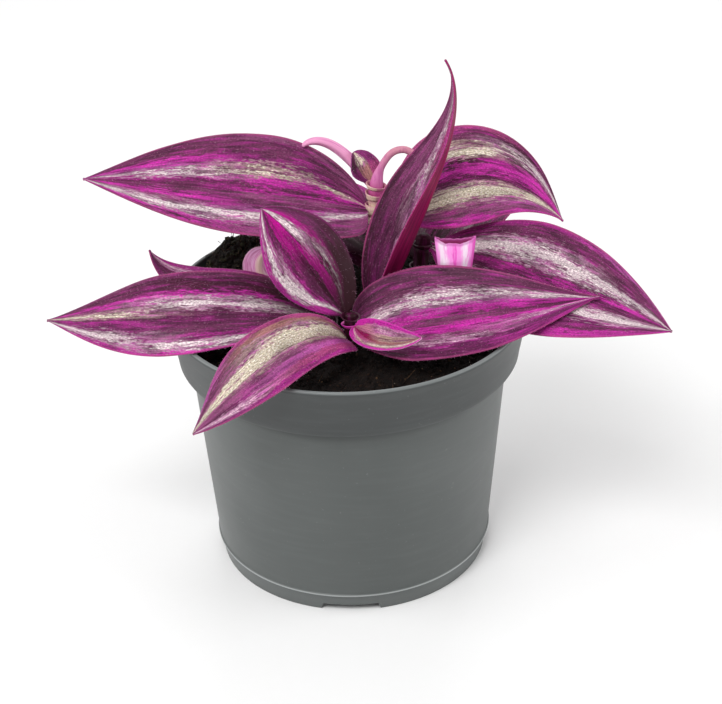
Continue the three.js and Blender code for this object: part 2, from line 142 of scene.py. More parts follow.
def stripe_stops(text: str) -> list[tuple[float, tuple]]:
    """Turn stripes across a blade into a ramp.

    Args:
        text: Each stripe's far limit and tint. The limits run from -1 at the left margin to 1 at the right
            one, as seen from the base.

    Returns:
        The ramp's stops, with the share of silver as each one's alpha.
    """
    stops = []
    start = -1.0
    for limit, tint in bands(text):
        color = tint.linear()[:3]
        silver = SILVER_SHARE.get(tint, 0.0)
        soft = min(BAND_SOFTNESS, (limit - start) * 0.25)
        first = 0.0 if start <= -1.0 else (start + soft + 1) / 2
        last = 1.0 if limit >= 1.0 else (limit - soft + 1) / 2
        inner = [(first + (last - first) * share, (*color, silver)) for share in SILVER_CORE] if silver else []
        stops += [(first, (*color, silver * SILVER_EDGE)), *inner, (last, (*color, silver * SILVER_EDGE))]
        start = limit
    return stops


# Node sheets.


class Signal:
    """A value that runs through a node tree, with the sums that the finishes are made of."""

    def __init__(self, sheet: "NodeSheet", socket: bpy.types.NodeSocket) -> None:
        """Keep the sheet and the socket that gives the value."""
        self.sheet = sheet
        self.socket = socket

    def math(self, operation: str, *others: object) -> "Signal":
        """Return a math node's result, with this value first and the others after it."""
        return self.sheet.value("ShaderNodeMath", dict(enumerate((self, *others))), operation=operation)

    def __add__(self, other: object) -> "Signal":
        """Return the sum."""
        return self.math("ADD", other)

    def __sub__(self, other: object) -> "Signal":
        """Return the difference."""
        return self.math("SUBTRACT", other)

    def __mul__(self, other: object) -> "Signal":
        """Return the product."""
        return self.math("MULTIPLY", other)

    def rest(self) -> "Signal":
        """Return what the value leaves of one."""
        return self.math("MULTIPLY_ADD", -1.0, 1.0)

    def swing(self, amount: float) -> "Signal":
        """Return the value's distance from a half, times an amount."""
        return (self - 0.5) * amount

    def aside(self) -> "Signal":
        """Return the distance from the middle of a blade, from 0 at the midrib to 1 at a margin."""
        return self.math("MULTIPLY_ADD", 2.0, -1.0).math("ABSOLUTE")

    def span(self, low: float, high: float, least: float, most: float, way: str = "LINEAR") -> "Signal":
        """Move the value from one range to another.

        Args:
            low: The value that becomes least.
            high: The value that becomes most.
            least: The low end of the new range.
            most: Its high end.
            way: The node's way between them.

        Returns:
            The new value, held within the new range.
        """
        limits = {"Value": self, "From Min": low, "From Max": high, "To Min": least, "To Max": most}
        return self.sheet.value("ShaderNodeMapRange", limits, interpolation_type=way)

    def step(self, low: float, high: float) -> "Signal":
        """Return 0 where the value is under low, 1 where it is over high, and a smooth rise between them."""
        return self.span(low, high, 0.0, 1.0, "SMOOTHSTEP")

    def part(self, axis: int) -> "Signal":
        """Return one part of a vector."""
        return self.sheet.value("ShaderNodeSeparateXYZ", {0: self}, axis)

    def scaled(self, scale: tuple, offset: tuple = (0.0, 0.0, 0.0)) -> "Signal":
        """Return a vector that is scaled and moved."""
        return self.sheet.value("ShaderNodeMapping", {"Vector": self, "Scale": scale, "Location": offset})

    def noise(self, scale: float = 1.0, detail: float = 2.0, roughness: float = 0.5) -> "Signal":
        """Return the noise at a place."""
        settings = {"Vector": self, "Scale": scale, "Detail": detail, "Roughness": roughness}
        return self.sheet.value("ShaderNodeTexNoise", settings)


class NodeSheet:
    """A node tree that is filled in by short calls."""

    def __init__(self, tree: bpy.types.NodeTree) -> None:
        """Empty the tree and keep it."""
        self.tree = tree
        tree.nodes.clear()

    def node(self, kind: str, inputs: dict | None = None, **settings: object) -> bpy.types.Node:
        """Add a node.

        Args:
            kind: The node's type.
            inputs: Its inputs by name or number, each a value or what to link from.
            settings: Its own properties.

        Returns:
            The new node.
        """
        made = self.tree.nodes.new(kind)
        for name, value in settings.items():
            setattr(made, name, value)
        for key, value in (inputs or {}).items():
            self.put(made.inputs[key], value)
        return made

    def value(self, kind: str, inputs: dict | None = None, output: int | str = 0, **settings: object) -> Signal:
        """Add a node and take one of its outputs.

        Args:
            kind: The node's type.
            inputs: Its inputs.
            output: The output's number or name.
            settings: The node's own properties.

        Returns:
            The output.
        """
        return Signal(self, self.node(kind, inputs, **settings).outputs[output])

    def put(self, socket: bpy.types.NodeSocket, value: object) -> None:
        """Link a signal or a socket into an input, or set the input to a value or a tint.

        Args:
            socket: The input.
            value: What goes into it.
        """
        value = value.socket if isinstance(value, Signal) else value
        if isinstance(value, bpy.types.NodeSocket):
            self.tree.links.new(value, socket)
        else:
            socket.default_value = value.linear() if isinstance(value, Tint) else value


class Surface:
    """A material in the making: its sheet, its shader and the colour laid on so far."""

    def __init__(self, name: str) -> None:
        """Start a material with a shader.

        Args:
            name: The material's name.
        """
        self.material = bpy.data.materials.new(name)
        self.material.use_nodes = True
        self.sheet = NodeSheet(self.material.node_tree)
        self.shader = self.sheet.node("ShaderNodeBsdfPrincipled")
        self.sheet.node("ShaderNodeOutputMaterial", {"Surface": self.shader.outputs[0]})
        self.color: object = None

    def blade(self) -> Signal:
        """Return the piece's own map: the place across and the place along."""
        return self.sheet.value("ShaderNodeUVMap", uv_map="blade")

    def place(self) -> Signal:
        """Return the place in the object's frame."""
        return self.sheet.value("ShaderNodeTexCoord", output="Object")

    def mix(self, share: object, first: object, second: object, blend: str = "MIX") -> Signal:
        """Return the mix of two colours, by the share of the second."""
        return self.sheet.value("ShaderNodeMix", {0: share, 6: first, 7: second}, 2, data_type="RGBA",
                                blend_type=blend)

    def lay(self, share: object, color: object, blend: str = "MIX") -> None:
        """Lay a share of a colour over what is there."""
        self.color = self.mix(share, self.color, color, blend)

    def ramp(self, value: Signal, stops: list[tuple[float, tuple]]) -> bpy.types.NodeOutputs:
        """Add a colour ramp.

        Args:
            value: What runs along it.
            stops: Its places and colours.

        Returns:
            Its outputs, the colour and the alpha.
        """
        made = self.sheet.node("ShaderNodeValToRGB", {"Fac": value})
        elements = made.color_ramp.elements
        while len(elements) > 1:
            elements.remove(elements[-1])
        elements[0].position, elements[0].color = stops[0]
        for place, color in stops[1:]:
            elements.new(place).color = color
        return made.outputs

    def finish(self, roughness: object, relief: Signal | None = None, depth: float = 0.0, strength: float = 1.0,
               specular: float = 0.5) -> bpy.types.Material:
        """Close the material.

        Args:
            roughness: The surface's roughness.
            relief: The height that its bump follows.
            depth: The bump's height in metres.
            strength: The bump's strength.
            specular: The specular level.

        Returns:
            The material.
        """
        inputs = self.shader.inputs
        self.sheet.put(inputs["Base Color"], self.color)
        self.sheet.put(inputs["Roughness"], roughness)
        inputs["Specular IOR Level"].default_value = specular
        if relief is not None:
            bump = {"Height": relief, "Distance": depth, "Strength": strength}
            self.sheet.put(inputs["Normal"], self.sheet.value("ShaderNodeBump", bump))
        return self.material


# Finishes.


class Grain(Enum):
    """The noises of a leaf: each one's width and length in millimetres, its detail and its shift."""

    WANDER = (3.4, 34.0, 2.0, 0.0)
    STREAK = (1.1, 8.0, 3.0, 5.0)
    RAGGED = (0.45, 2.2, 3.0, 8.0)
    HOT = (1.4, 10.0, 4.0, 11.0)
    PALE = (0.7, 3.0, 4.0, 17.0)
    DARK = (1.2, 9.0, 5.0, 23.0)
    THREADS = (0.45, 2.0, 4.0, 29.0)
    GRANULES = (0.36, 0.8, 3.0, 31.0)
    FRINGE = (1.1, 9.0, 2.0, 37.0)
    GREENS = (2.6, 12.0, 2.0, 41.0)
    SPECKS = (0.4, 1.4, 2.0, 43.0)
    VEINS = (0.38, 14.0, 2.0, 57.0)
    BREAKS = (1.5, 16.0, 3.0, 61.0)
    CLOUDS = (7.0, 16.0, 1.0, 71.0)
    CELLS = (0.36, 0.7, 2.0, 83.0)


class LeafSurface(Surface):
    """A leaf's upper face in the making, with its own places and noises."""

    def __init__(self, name: str, width: float, length: float, seed: float) -> None:
        """Start the material with the noises that several layers share.

        Args:
            name: The material's name.
            width: The blade's greatest width.
            length: The blade's length.
            seed: What sets this leaf's noises apart.
        """
        super().__init__(name)
        self.size = (width, length)
        self.seed = seed
        self.map = self.blade()
        self.across, self.along = self.map.part(0), self.map.part(1)
        self.wander = self.grain(Grain.WANDER).swing(0.15)
        self.streak = self.grain(Grain.STREAK)
        self.granules = self.grain(Grain.GRANULES)
        self.veins = self.grain(Grain.VEINS)

    def grain(self, kind: Grain) -> Signal:
        """Add one of the leaf's noises.

        Args:
            kind: Which one.

        Returns:
            Its value at each place.
        """
        wide, long, detail, shift = kind.value
        place = (self.seed * 3.7 + shift, self.seed * 1.3, self.seed + shift)
        return self.map.scaled((self.size[0] / wide, self.size[1] / long, 1.0), place).noise(1.0, detail)


@dataclass(frozen=True)
class LeafFinish:
    """The striped upper face of one leaf, with its stripes at the base and at the tip.

    The stripes pass over from the base to the tip within the turn. Each shade has its depth, its reach
    from the foot, and the place across where it starts.
    """

    name: str
    base: str
    tip: str
    turn: tuple[float, float] = (0.45, 0.65)
    mottle: float = 0.6
    seed: float = 0.0
    silver_green: float = 0.5
    margin: Tint = Tint.ROSE
    depth: float = 0.68
    wear: float = 0.3
    arch: float = 0.5
    shades: tuple[tuple[float, float, float], ...] = ()
    arch_reach: float = 0.24
    rib: tuple[float, float] = (0.004, 0.02)
    rim: tuple[float, float] = (0.955, 0.985)
    shade_blur: float = 0.25

    def lay_stripes(self, surface: LeafSurface) -> Signal:
        """Lay the stripes, which arch together at the foot, wander, and have ragged edges.

        Args:
            surface: The face.

        Returns:
            The share of silver, whole in the middle of its bands and worn into threads beside it.
        """
        jagged = surface.streak.swing(0.15) + surface.grain(Grain.RAGGED).swing(0.16)
        drawn = surface.along.step(0.0, self.arch_reach).rest() * self.arch + 1.0
        place = (surface.across - 0.5) * drawn + 0.5 + surface.wander + jagged
        base, tip = (surface.ramp(place, stripe_stops(text)) for text in (self.base, self.tip))
        toward_tip = (surface.along + surface.wander).step(*self.turn)
        surface.color = surface.mix(toward_tip, base[0], tip[0])
        core = surface.sheet.value("ShaderNodeMix", {0: toward_tip, 2: base[1], 3: tip[1]})
        core = core * surface.grain(Grain.BREAKS).span(0.3, 0.6, self.wear, 1.05)
        whole = (surface.grain(Grain.THREADS).swing(1.3) + core).step(0.28, 0.78)
        worn = (core * 2.2).math("MINIMUM", 1.0) * whole.rest()
        surface.lay(worn, surface.mix(surface.grain(Grain.FRINGE).step(0.45, 0.6), Tint.BROWN, Tint.ORCHID))
        return core * whole

    def lay_grains(self, surface: LeafSurface, silver: Signal) -> None:
        """Lay the mottling between the silver, then the silver's own grains, whose near-white ones are partly
        painted glints.

        Args:
            surface: The face.
            silver: The share of silver.
        """
        plain = silver.rest()
        for kind, (low, high), amount, color in ((Grain.HOT, (0.45, 0.76), self.mottle, Tint.HOT),
                                                 (Grain.PALE, (0.5, 0.74), 0.35, Tint.MAUVE),
                                                 (Grain.DARK, (0.42, 0.7), self.depth, DEEP)):
            surface.lay(surface.grain(kind).step(low, high) * plain * amount, color)
        greens = surface.mix(surface.grain(Grain.GREENS).step(0.4, 0.6) * self.silver_green, Tint.MAUVE, OLIVE)
        surface.lay(surface.granules.rest().step(0.48, 0.68) * silver * 0.5, greens)
        # Near-white grains in the silver: partly its own pale speckle, partly painted glints of its sparkle.
        surface.lay(surface.granules.step(0.45, 0.68) * silver * 0.8, SPECKLE_AND_GLINT)
        surface.lay(surface.grain(Grain.SPECKS).step(0.62, 0.74) * 0.25, Tint.SHELL)

    def lay_light(self, surface: LeafSurface) -> None:
        """Lay the light and dark of the veins, of broad clouds and of the cells.

        Args:
            surface: The face.
        """
        clouds, cells = surface.grain(Grain.CLOUDS), surface.grain(Grain.CELLS)
        level = (surface.veins.span(*NOISE_RANGE, 0.74, 1.2) * clouds.span(*NOISE_RANGE, 0.72, 1.15)
                 * cells.span(*NOISE_RANGE, 0.62, 1.3))
        grey = surface.sheet.value("ShaderNodeCombineColor", dict.fromkeys(range(3), level))
        surface.lay(1.0, grey, "MULTIPLY")

    def lay_edges(self, surface: LeafSurface) -> None:
        """Lay the midrib, the margin and the places that lie in shade.

        Args:
            surface: The face.
        """
        aside = surface.across.aside()
        surface.lay(aside.step(*self.rib).rest() * 0.3, Tint.WINE)
        rim = (aside + surface.streak.swing(0.04)).step(*self.rim)
        surface.lay(rim * (surface.streak + 0.05), self.margin)
        for deep, reach, start in self.shades:
            low = surface.along.step(0.0, reach).rest()
            surface.lay(low * surface.across.step(start, start + self.shade_blur) * deep, Tint.NIGHT)

    def material(self, width: float, length: float) -> bpy.types.Material:
        """Build the material for a blade.

        Args:
            width: The blade's greatest width.
            length: The blade's length.

        Returns:
            The material.
        """
        surface = LeafSurface(self.name, width, length, self.seed)
        self.lay_grains(surface, self.lay_stripes(surface))
        self.lay_light(surface)
        self.lay_edges(surface)
        relief = surface.veins * 0.8 + surface.granules * 0.12
        rough = surface.streak.span(*NOISE_RANGE, 0.5, 0.7)
        return surface.finish(rough, relief, depth=0.00022, strength=0.6, specular=0.2)


@dataclass(frozen=True)
class UndersideFinish:
    """The plain lower face of the leaves."""

    name: str
    deep: Tint
    dark: Tint
    light: Tint
    lit: float
    band: Tint

    def material(self) -> bpy.types.Material:
        """Build the material.

        Returns:
            The material.
        """
        surface = Surface(self.name)
        blade = surface.blade()
        streak = blade.scaled((24.0, 5.0, 1.0)).noise(1.0, 3.0)
        veins = blade.scaled((70.0, 3.0, 1.0)).noise(1.0, 2.0)
        surface.color = surface.mix(streak.step(0.35, 0.7), self.deep, self.dark)
        surface.lay(veins.step(0.5, 0.7) * self.lit, self.light)
        aside = blade.part(0).aside()
        surface.lay((streak * 0.5 + aside).step(0.3, 0.6).rest() * 0.8, self.band)
        surface.lay(aside.step(0.93, 0.98) * 0.7, self.light)
        return surface.finish(0.5, veins, depth=0.0002, strength=0.5, specular=0.2)


@dataclass(frozen=True)
class StemFinish:
    """A fleshy stem whose tints change with the height over the ground."""

    name: str
    levels: str
    streaks: float = 0.15
    low: float = 60.0
    high: float = 140.0

    def material(self) -> bpy.types.Material:
        """Build the material.

        Returns:
            The material.
        """
        surface = Surface(self.name)
        place = surface.place()
        reach = self.high - self.low
        share = (place.part(2) - self.low * MM).math("DIVIDE", reach * MM)
        stops = [((z - self.low) / reach, tint.linear()) for z, tint in bands(self.levels)]
        surface.color = surface.ramp(share, stops)[0]
        streak = place.scaled((900.0, 900.0, 90.0)).noise(1.0, 3.0)
        surface.lay(streak.step(0.48, 0.64) * self.streaks, Tint.MAGENTA)
        return surface.finish(0.5, streak, depth=0.0002, strength=0.5, specular=0.2)


@dataclass(frozen=True)
class SheathFinish:
    """A thin sheath with upright stripes, by the turn round it."""

    name: str
    stripes: str
    mouth: Tint = Tint.HOT
    streaks: float = 0.3

    def material(self) -> bpy.types.Material:
        """Build the material.

        Returns:
            The material.
        """
        surface = Surface(self.name)
        blade = surface.blade()
        streak = blade.scaled((46.0, 4.0, 1.0)).noise(1.0, 3.0)
        surface.color = surface.ramp(blade.part(0) + streak.swing(0.1), stripe_stops(self.stripes))[0]
        surface.lay(streak.step(0.5, 0.68) * self.streaks, Tint.HOT)
        surface.lay(blade.part(1).step(0.93, 1.0) * 0.7, self.mouth)
        return surface.finish(0.42, streak, depth=0.0003, strength=0.5)


@dataclass(frozen=True)
class PotFinish:
    """Moulded grey plastic with a soft satin face."""

    name: str = "pot_plastic"

    def material(self) -> bpy.types.Material:
        """Build the material.

        Returns:
            The material.
        """
        surface = Surface(self.name)
        place = surface.place()
        height = place.part(2)

        def over(level: float, low: float, high: float) -> Signal:
            """Return the rise from 0 to 1 between two heights, each counted from a level."""
            return height.step((level + low) * MM, (level + high) * MM)

        cloud = place.noise(28.0, 3.0)
        collar = over(SHELF_HEIGHT, -1.5, 1.5)
        flow = place.scaled((60.0, 60.0, 520.0)).noise(1.0, 2.0)

        # Mottled grey, with the collar darkened as painted shade from the leaves, the foot painted paler below
        # the ridge as painted light, and faint lines of flow.
        surface.color = surface.mix(cloud.step(0.35, 0.7) * 0.5, Tint.GREY, Tint.DIM_GREY)
        surface.lay(collar * 0.75, Tint.DARK_GREY)
        surface.lay(over(RIDGE_HEIGHT, -0.5, 0.3).rest() * 0.12, Tint.PALE_GREY)
        surface.lay(flow.step(0.45, 0.7) * 0.03, Tint.PALE_GREY)

        # A painted shadow under the shelf, a painted highlight on the lip and on the ridge, and the dust.
        surface.lay(over(SHELF_HEIGHT, -5, 0) * collar.rest() * 0.9, Tint.DARK_GREY)
        surface.lay(over(POT_HEIGHT, -0.9, -0.3) * 0.55, Tint.PALE_GREY)
        surface.lay(over(RIDGE_HEIGHT, -0.4, -0.1) * over(RIDGE_HEIGHT, 0.3, 0.6).rest() * 0.6, Tint.LIGHT_GREY)
        surface.lay(place.noise(900.0, 2.0).step(0.7, 0.78) * 0.25, Tint.PALE_GREY)
        grain = place.noise(2600.0, 2.0)
        rough = cloud.span(*NOISE_RANGE, 0.4, 0.5)
        return surface.finish(rough, grain, depth=0.00002, strength=0.4, specular=0.45)


@dataclass(frozen=True)
class EarthFinish:
    """Peat, or the crumbs, fibres and specks in it."""

    name: str
    dark: Tint = Tint.PEAT
    light: Tint = Tint.LOAM
    share: float = 0.5

    def material(self) -> bpy.types.Material:
        """Build the material.

        Returns:
            The material.
        """
        surface = Surface(self.name)
        place = surface.place()
        coarse, fine = place.noise(420.0, 4.0, 0.6), place.noise(2400.0, 3.0, 0.6)
        surface.color = surface.mix(coarse.step(0.42, 0.66) * self.share, self.dark, self.light)
        surface.lay(fine.step(0.6, 0.75) * (self.share * 0.8), Tint.STRAW)
        return surface.finish(0.85, coarse + fine, depth=0.0006, strength=0.8, specular=0.25)


@dataclass(frozen=True)
class PlainFinish:
    """A pale even surface with a fine grain, for the floor and the hairs."""

    name: str
    tint: Tint
    roughness: float = 0.8

    def material(self) -> bpy.types.Material:
        """Build the material.

        Returns:
            The material.
        """
        surface = Surface(self.name)
        surface.color = surface.mix(surface.place().noise(300.0, 2.0) * 0.03, self.tint, Tint.CHALK)
        return surface.finish(self.roughness)


# Meshes.


class Skin:
    """A mesh in the making: points in millimetres, faces, blade places and finishes."""

    def __init__(self) -> None:
        """Start with no points."""
        self.points: list[np.ndarray] = []
        self.places: list[np.ndarray] = []
        self.faces: list[tuple[int, ...]] = []
        self.slots: list[int] = []
        self.count = 0

    def add(self, points: np.ndarray, places: np.ndarray | None = None) -> int:
        """Add points with their places on the blade.

        Args:
            points: Rows of x, y and z.
            places: Rows of the place across and the place along, from 0 to 1.

        Returns:
            The number of the first new point.
        """
        first = self.count
        self.points.append(points.reshape(-1, 3))
        self.count += len(self.points[-1])
        self.places.append(np.zeros((self.count - first, 2)) if places is None else places.reshape(-1, 2))
        return first

    def face(self, corners: list[int] | tuple[int, ...], slot: int = 0) -> None:
        """Add one face."""
        self.faces.append(tuple(corners))
        self.slots.append(slot)

    def grid(self, points: np.ndarray, places: np.ndarray | None = None, slot: int = 0, flip: bool = False,
             closed: bool = False) -> int:
        """Add a grid of rows and columns of points, as quads.

        Args:
            points: An array of rows, columns and x, y, z.
            places: The same array of blade places.
            slot: The finish's number.
            flip: Whether the faces look the other way.
            closed: Whether the last column meets the first one.

        Returns:
            The number of the first point.
        """
        rows, columns = points.shape[:2]
        first = self.add(points, places)
        for i in range(rows - 1):
            for j in range(columns if closed else columns - 1):
                a, b = first + i * columns + j, first + i * columns + (j + 1) % columns
                c, d = b + columns, a + columns
                self.face((a, d, c, b) if flip else (a, b, c, d), slot)
        return first

    def tube(self, rings: np.ndarray, places: np.ndarray | None = None) -> None:
        """Add rings of points as a closed body with a face at each end.

        Args:
            rings: An array of rings, points and x, y, z.
            places: The same array of blade places.
        """
        count, sides = rings.shape[:2]
        first = self.grid(rings, places, closed=True)
        last = first + (count - 1) * sides
        self.face(range(first + sides - 1, first - 1, -1))
        self.face(range(last, last + sides))

    def build(self, name: str, materials: list[bpy.types.Material]) -> bpy.types.Object:
        """Make the object.

        Args:
            name: The piece's name.
            materials: Its finishes.

        Returns:
            The object, in the scene.
        """
        mesh = bpy.data.meshes.new(name)
        mesh.from_pydata((np.concatenate(self.points) * MM).tolist(), [], self.faces)
        layer = mesh.uv_layers.new(name="blade")
        corners = np.empty(len(mesh.loops), dtype=np.int32)
        mesh.loops.foreach_get("vertex_index", corners)
        layer.data.foreach_set("uv", np.concatenate(self.places)[corners].astype(np.float32).ravel())
        mesh.polygons.foreach_set("material_index", np.array(self.slots, dtype=np.int32))
        mesh.polygons.foreach_set("use_smooth", np.ones(len(mesh.polygons), dtype=bool))
        for material in materials:
            mesh.materials.append(material)
        mesh.validate()
        mesh.update()
        return shown(name, mesh)


def shown(name: str, data: bpy.types.ID) -> bpy.types.Object:
    """Put a mesh, a camera or a light in the scene as an object.

    Args:
        name: The object's name.
        data: What it shows.

    Returns:
        The object.
    """
    made = bpy.data.objects.new(name, data)
    bpy.context.scene.collection.objects.link(made)
    return made


def baked(host: bpy.types.Object, name: str) -> bpy.types.Object:
    """Turn a host and its modifiers into a plain mesh of its own, and remove the host.

    Args:
        host: The object with the modifiers.
        name: The new piece's name.

    Returns:
        The new piece.
    """
    bpy.context.view_layer.update()
    graph = bpy.context.evaluated_depsgraph_get()
    mesh = bpy.data.meshes.new_from_object(host.evaluated_get(graph), depsgraph=graph)
    mesh.name = name
    bpy.data.objects.remove(host)
    return shown(name, mesh)


def declare(piece: bpy.types.Object, slot: str, *nodes: str) -> None:
    """Attach a piece to the root body, hide the nodes that it stands for and log its faces.

    Args:
        piece: The piece, which rides on the root body.
        slot: Its finish slot. It is not used.
        nodes: The nodes that it stands for.
    """
    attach(piece, "root")
    if nodes:
        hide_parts(*nodes)
    LOG.info("%s: %d faces", piece.name, len(piece.data.polygons))


def unit(vectors: np.ndarray) -> np.ndarray:
    """Return the vectors at length one."""
    return vectors / np.maximum(np.linalg.norm(vectors, axis=-1, keepdims=True), 1e-9)


def turns(sides: int) -> np.ndarray:
    """Return the angles of a ring's points."""
    return np.linspace(0, FULL_TURN, sides, endpoint=False)


def circle(radius: float, z: float, angles: np.ndarray) -> np.ndarray:
    """Return the points of a level circle round the pot's axis, at the given angles."""
    return np.stack([radius * np.cos(angles), radius * np.sin(angles), np.full(len(angles), float(z))], -1)


def bezier(values: tuple[float, ...], t: np.ndarray) -> np.ndarray:
    """Follow a Bezier curve.

    Args:
        values: Its control values.
        t: Places from 0 to 1.

    Returns:
        The curve's value at each place.
    """
    row = [np.full_like(t, float(value)) for value in values]
    while len(row) > 1:
        row = [a + (b - a) * t for a, b in zip(row, row[1:])]
    return row[0]


class Ripple:
    """Smooth random values over a plane, the same at each run."""

    def __init__(self, seed: int, size: int = 64) -> None:
        """Fill the lattice from the seed."""
        self.lattice = np.random.default_rng(seed).uniform(-1, 1, (size, size))
        self.size = size

    def at(self, x: np.ndarray, y: np.ndarray) -> np.ndarray:
        """Read the ripple.

        Args:
            x: Places along the first axis, with the lattice one unit apart.
            y: Places along the second.

        Returns:
            The value at each place.
        """
        i, j = np.floor(x).astype(int), np.floor(y).astype(int)
        p, q = x - i, y - j
        p, q = p * p * (3 - 2 * p), q * q * (3 - 2 * q)
        values, n = self.lattice, self.size
        a, b = values[i % n, j % n], values[(i + 1) % n, j % n]
        c, d = values[i % n, (j + 1) % n], values[(i + 1) % n, (j + 1) % n]
        return (a * (1 - p) + b * p) * (1 - q) + (c * (1 - p) + d * p) * q


# Values.

POT_HEIGHT = 94.0
SHELF_HEIGHT = 76.0
RIDGE_HEIGHT = 6.8
FOOT_RADIUS = 46.0
FLOOR_BOTTOM = 4.6
GAP = 0.32
SOIL_LEVEL = 85.0
ROOT_DEPTH = 0.7
PETIOLE_END = 0.2
PETIOLE_HALF_WIDTH = 1.6
TIP_HALF_WIDTH = 0.35
CREAM_FROM = 110.0

# The pot's closed section as radius and height: up the outside, down the inside, and back under the floor.
POT_OUTSIDE = (
    (45.8, 0), (46, 0.2), (46.9, 6.35), (47.58, 6.65), (47.7, 6.9), (47.62, 7.22), (47.3, 7.55), (47.36, 8.8),
    (50.2, 41), (53, 73), (53.2, 74.8), (53.5, 75.5), (54.2, 75.9), (56.1, 76), (56.85, 76.15), (57.2, 76.75),
    (57.32, 78), (58.6, 85), (59.65, 91.8), (59.9, 92.3), (60, 92.8), (60, 93.5), (59.88, 93.8), (59.6, 94))
POT_INSIDE = (
    (59.05, 94), (58.8, 93.8), (58.7, 93.2), (56, 77.6), (52.1, 76.4), (46, 7), (45.64, 6.16), (44.8, 5.8))
POT_UNDER = ((0, 5.8), (0, FLOOR_BOTTOM), (44, FLOOR_BOTTOM), (44.4, 0))

# The corners of the pot's inside that the soil's wall follows, from the floor up, and the inner rim.
SOIL_WALL = tuple(POT_INSIDE[i] for i in (7, 5, 4, 3))
RIM_INSIDE = (58.8, 94.0)


# Stems.


@dataclass(frozen=True)
class Stem:
    """One shoot: a smooth curve from its foot in the soil to its end."""

    name: str
    radius: float
    path: tuple[tuple[float, float, float], ...]
    finish: StemFinish
    slim_from: float | None = None
    slim: float = 0.0
    slim_run: float = 0.12
    sides: int = 28
    steps: int = 72
    search_steps: int = 400
    reach: float = 0.004
    swelling: tuple[float, float, float, float] = (0.22, 1.6, 1.1, 0.25)
    rounding: tuple[tuple[float, float], ...] = ((0.72, 0.25), (0.3, 0.45))

    def point(self, place: float) -> np.ndarray:
        """Return the point of the centripetal curve at a place.

        Args:
            place: The place along the stem, from 0 to 1.

        Returns:
            The point.
        """
        knots = np.array(self.path, float)
        last = len(knots) - 1
        at = min(int(last * place), last - 1)
        weight = last * place - at
        p0 = knots[at - 1] if at > 0 else 2 * knots[0] - knots[1]
        p3 = knots[at + 2] if at + 2 <= last else 2 * knots[last] - knots[last - 1]
        p1, p2 = knots[at], knots[at + 1]
        d0, d1, d2 = (max(np.linalg.norm(b - a) ** 0.5, 1e-4) for a, b in ((p0, p1), (p1, p2), (p2, p3)))
        t1 = ((p1 - p0) / d0 - (p2 - p0) / (d0 + d1) + (p2 - p1) / d1) * d1
        t2 = ((p2 - p1) / d1 - (p3 - p1) / (d1 + d2) + (p3 - p2) / d2) * d1
        c2 = -3 * p1 + 3 * p2 - 2 * t1 - t2
        c3 = 2 * p1 - 2 * p2 + t1 + t2
        return p1 + t1 * weight + c2 * weight ** 2 + c3 * weight ** 3

    def place_at(self, z: float) -> float:
        """Find where the stem first reaches a height.

        Args:
            z: The height.

        Returns:
            The place along the stem, from 0 to 1.
        """
        steps = self.search_steps
        heights = [self.point(i / steps)[2] for i in range(steps + 1)]
        for i in range(1, steps + 1):
            if heights[i] >= z:
                return (i - 1 + (z - heights[i - 1]) / (heights[i] - heights[i - 1])) / steps
        return 1.0

    def radius_at(self, place: float) -> float:
        """Return the stem's radius.

        Args:
            place: The place along the stem, from 0 to 1.

        Returns:
            The radius there.
        """
        if self.slim_from is None:
            return self.radius
        share = min(max((place - self.place_at(self.slim_from)) / self.slim_run, 0.0), 1.0)
        return self.radius + (self.slim - self.radius) * share

    def ring(self, place: float, radius: float, shift: float = 0.0, sides: int | None = None) -> np.ndarray:
        """Lay a ring of points round the stem.

        Args:
            place: The place along the stem, from 0 to 1.
            radius: The ring's radius.
            shift: How far it is moved along the stem.
            sides: How many points it has.

        Returns:
            The points.
        """
        ahead, behind = self.point(min(place + self.reach, 1.0)), self.point(max(place - self.reach, 0.0))
        along = unit(ahead - behind)
        side = unit(np.array((0.0, 1.0, 0.0)) - along[1] * along)
        across = np.cross(side, along)
        turn = turns(sides or self.sides)[:, None]
        return self.point(place) + shift * along + radius * (np.cos(turn) * across + np.sin(turn) * side)

    def build(self, joints: tuple[float, ...]) -> bpy.types.Object:
        """Make the stem, swollen at its joints.

        Args:
            joints: The heights of the joints.

        Returns:
            The piece.
        """
        high, below, spread, most = self.swelling
        rows = []
        for place in np.linspace(0, 1, self.steps + 1):
            z = self.point(place)[2]
            swell = sum(high * math.exp(-((z - joint + below) / spread) ** 2) for joint in joints)
            rows.append(self.ring(place, self.radius_at(place) + min(swell, most)))
        end = self.radius_at(1.0)
        rows += [self.ring(1.0, end * narrow, end * shift) for narrow, shift in self.rounding]
        places = np.stack(np.meshgrid(np.linspace(0, 1, self.sides), np.linspace(0, 1, len(rows))), -1)
        skin = Skin()
        skin.tube(np.array(rows), places)
        piece = skin.build(f"{self.name}_skin", [self.finish.material()])
        declare(piece, "stem", self.name)
        return piece


# Leaves.


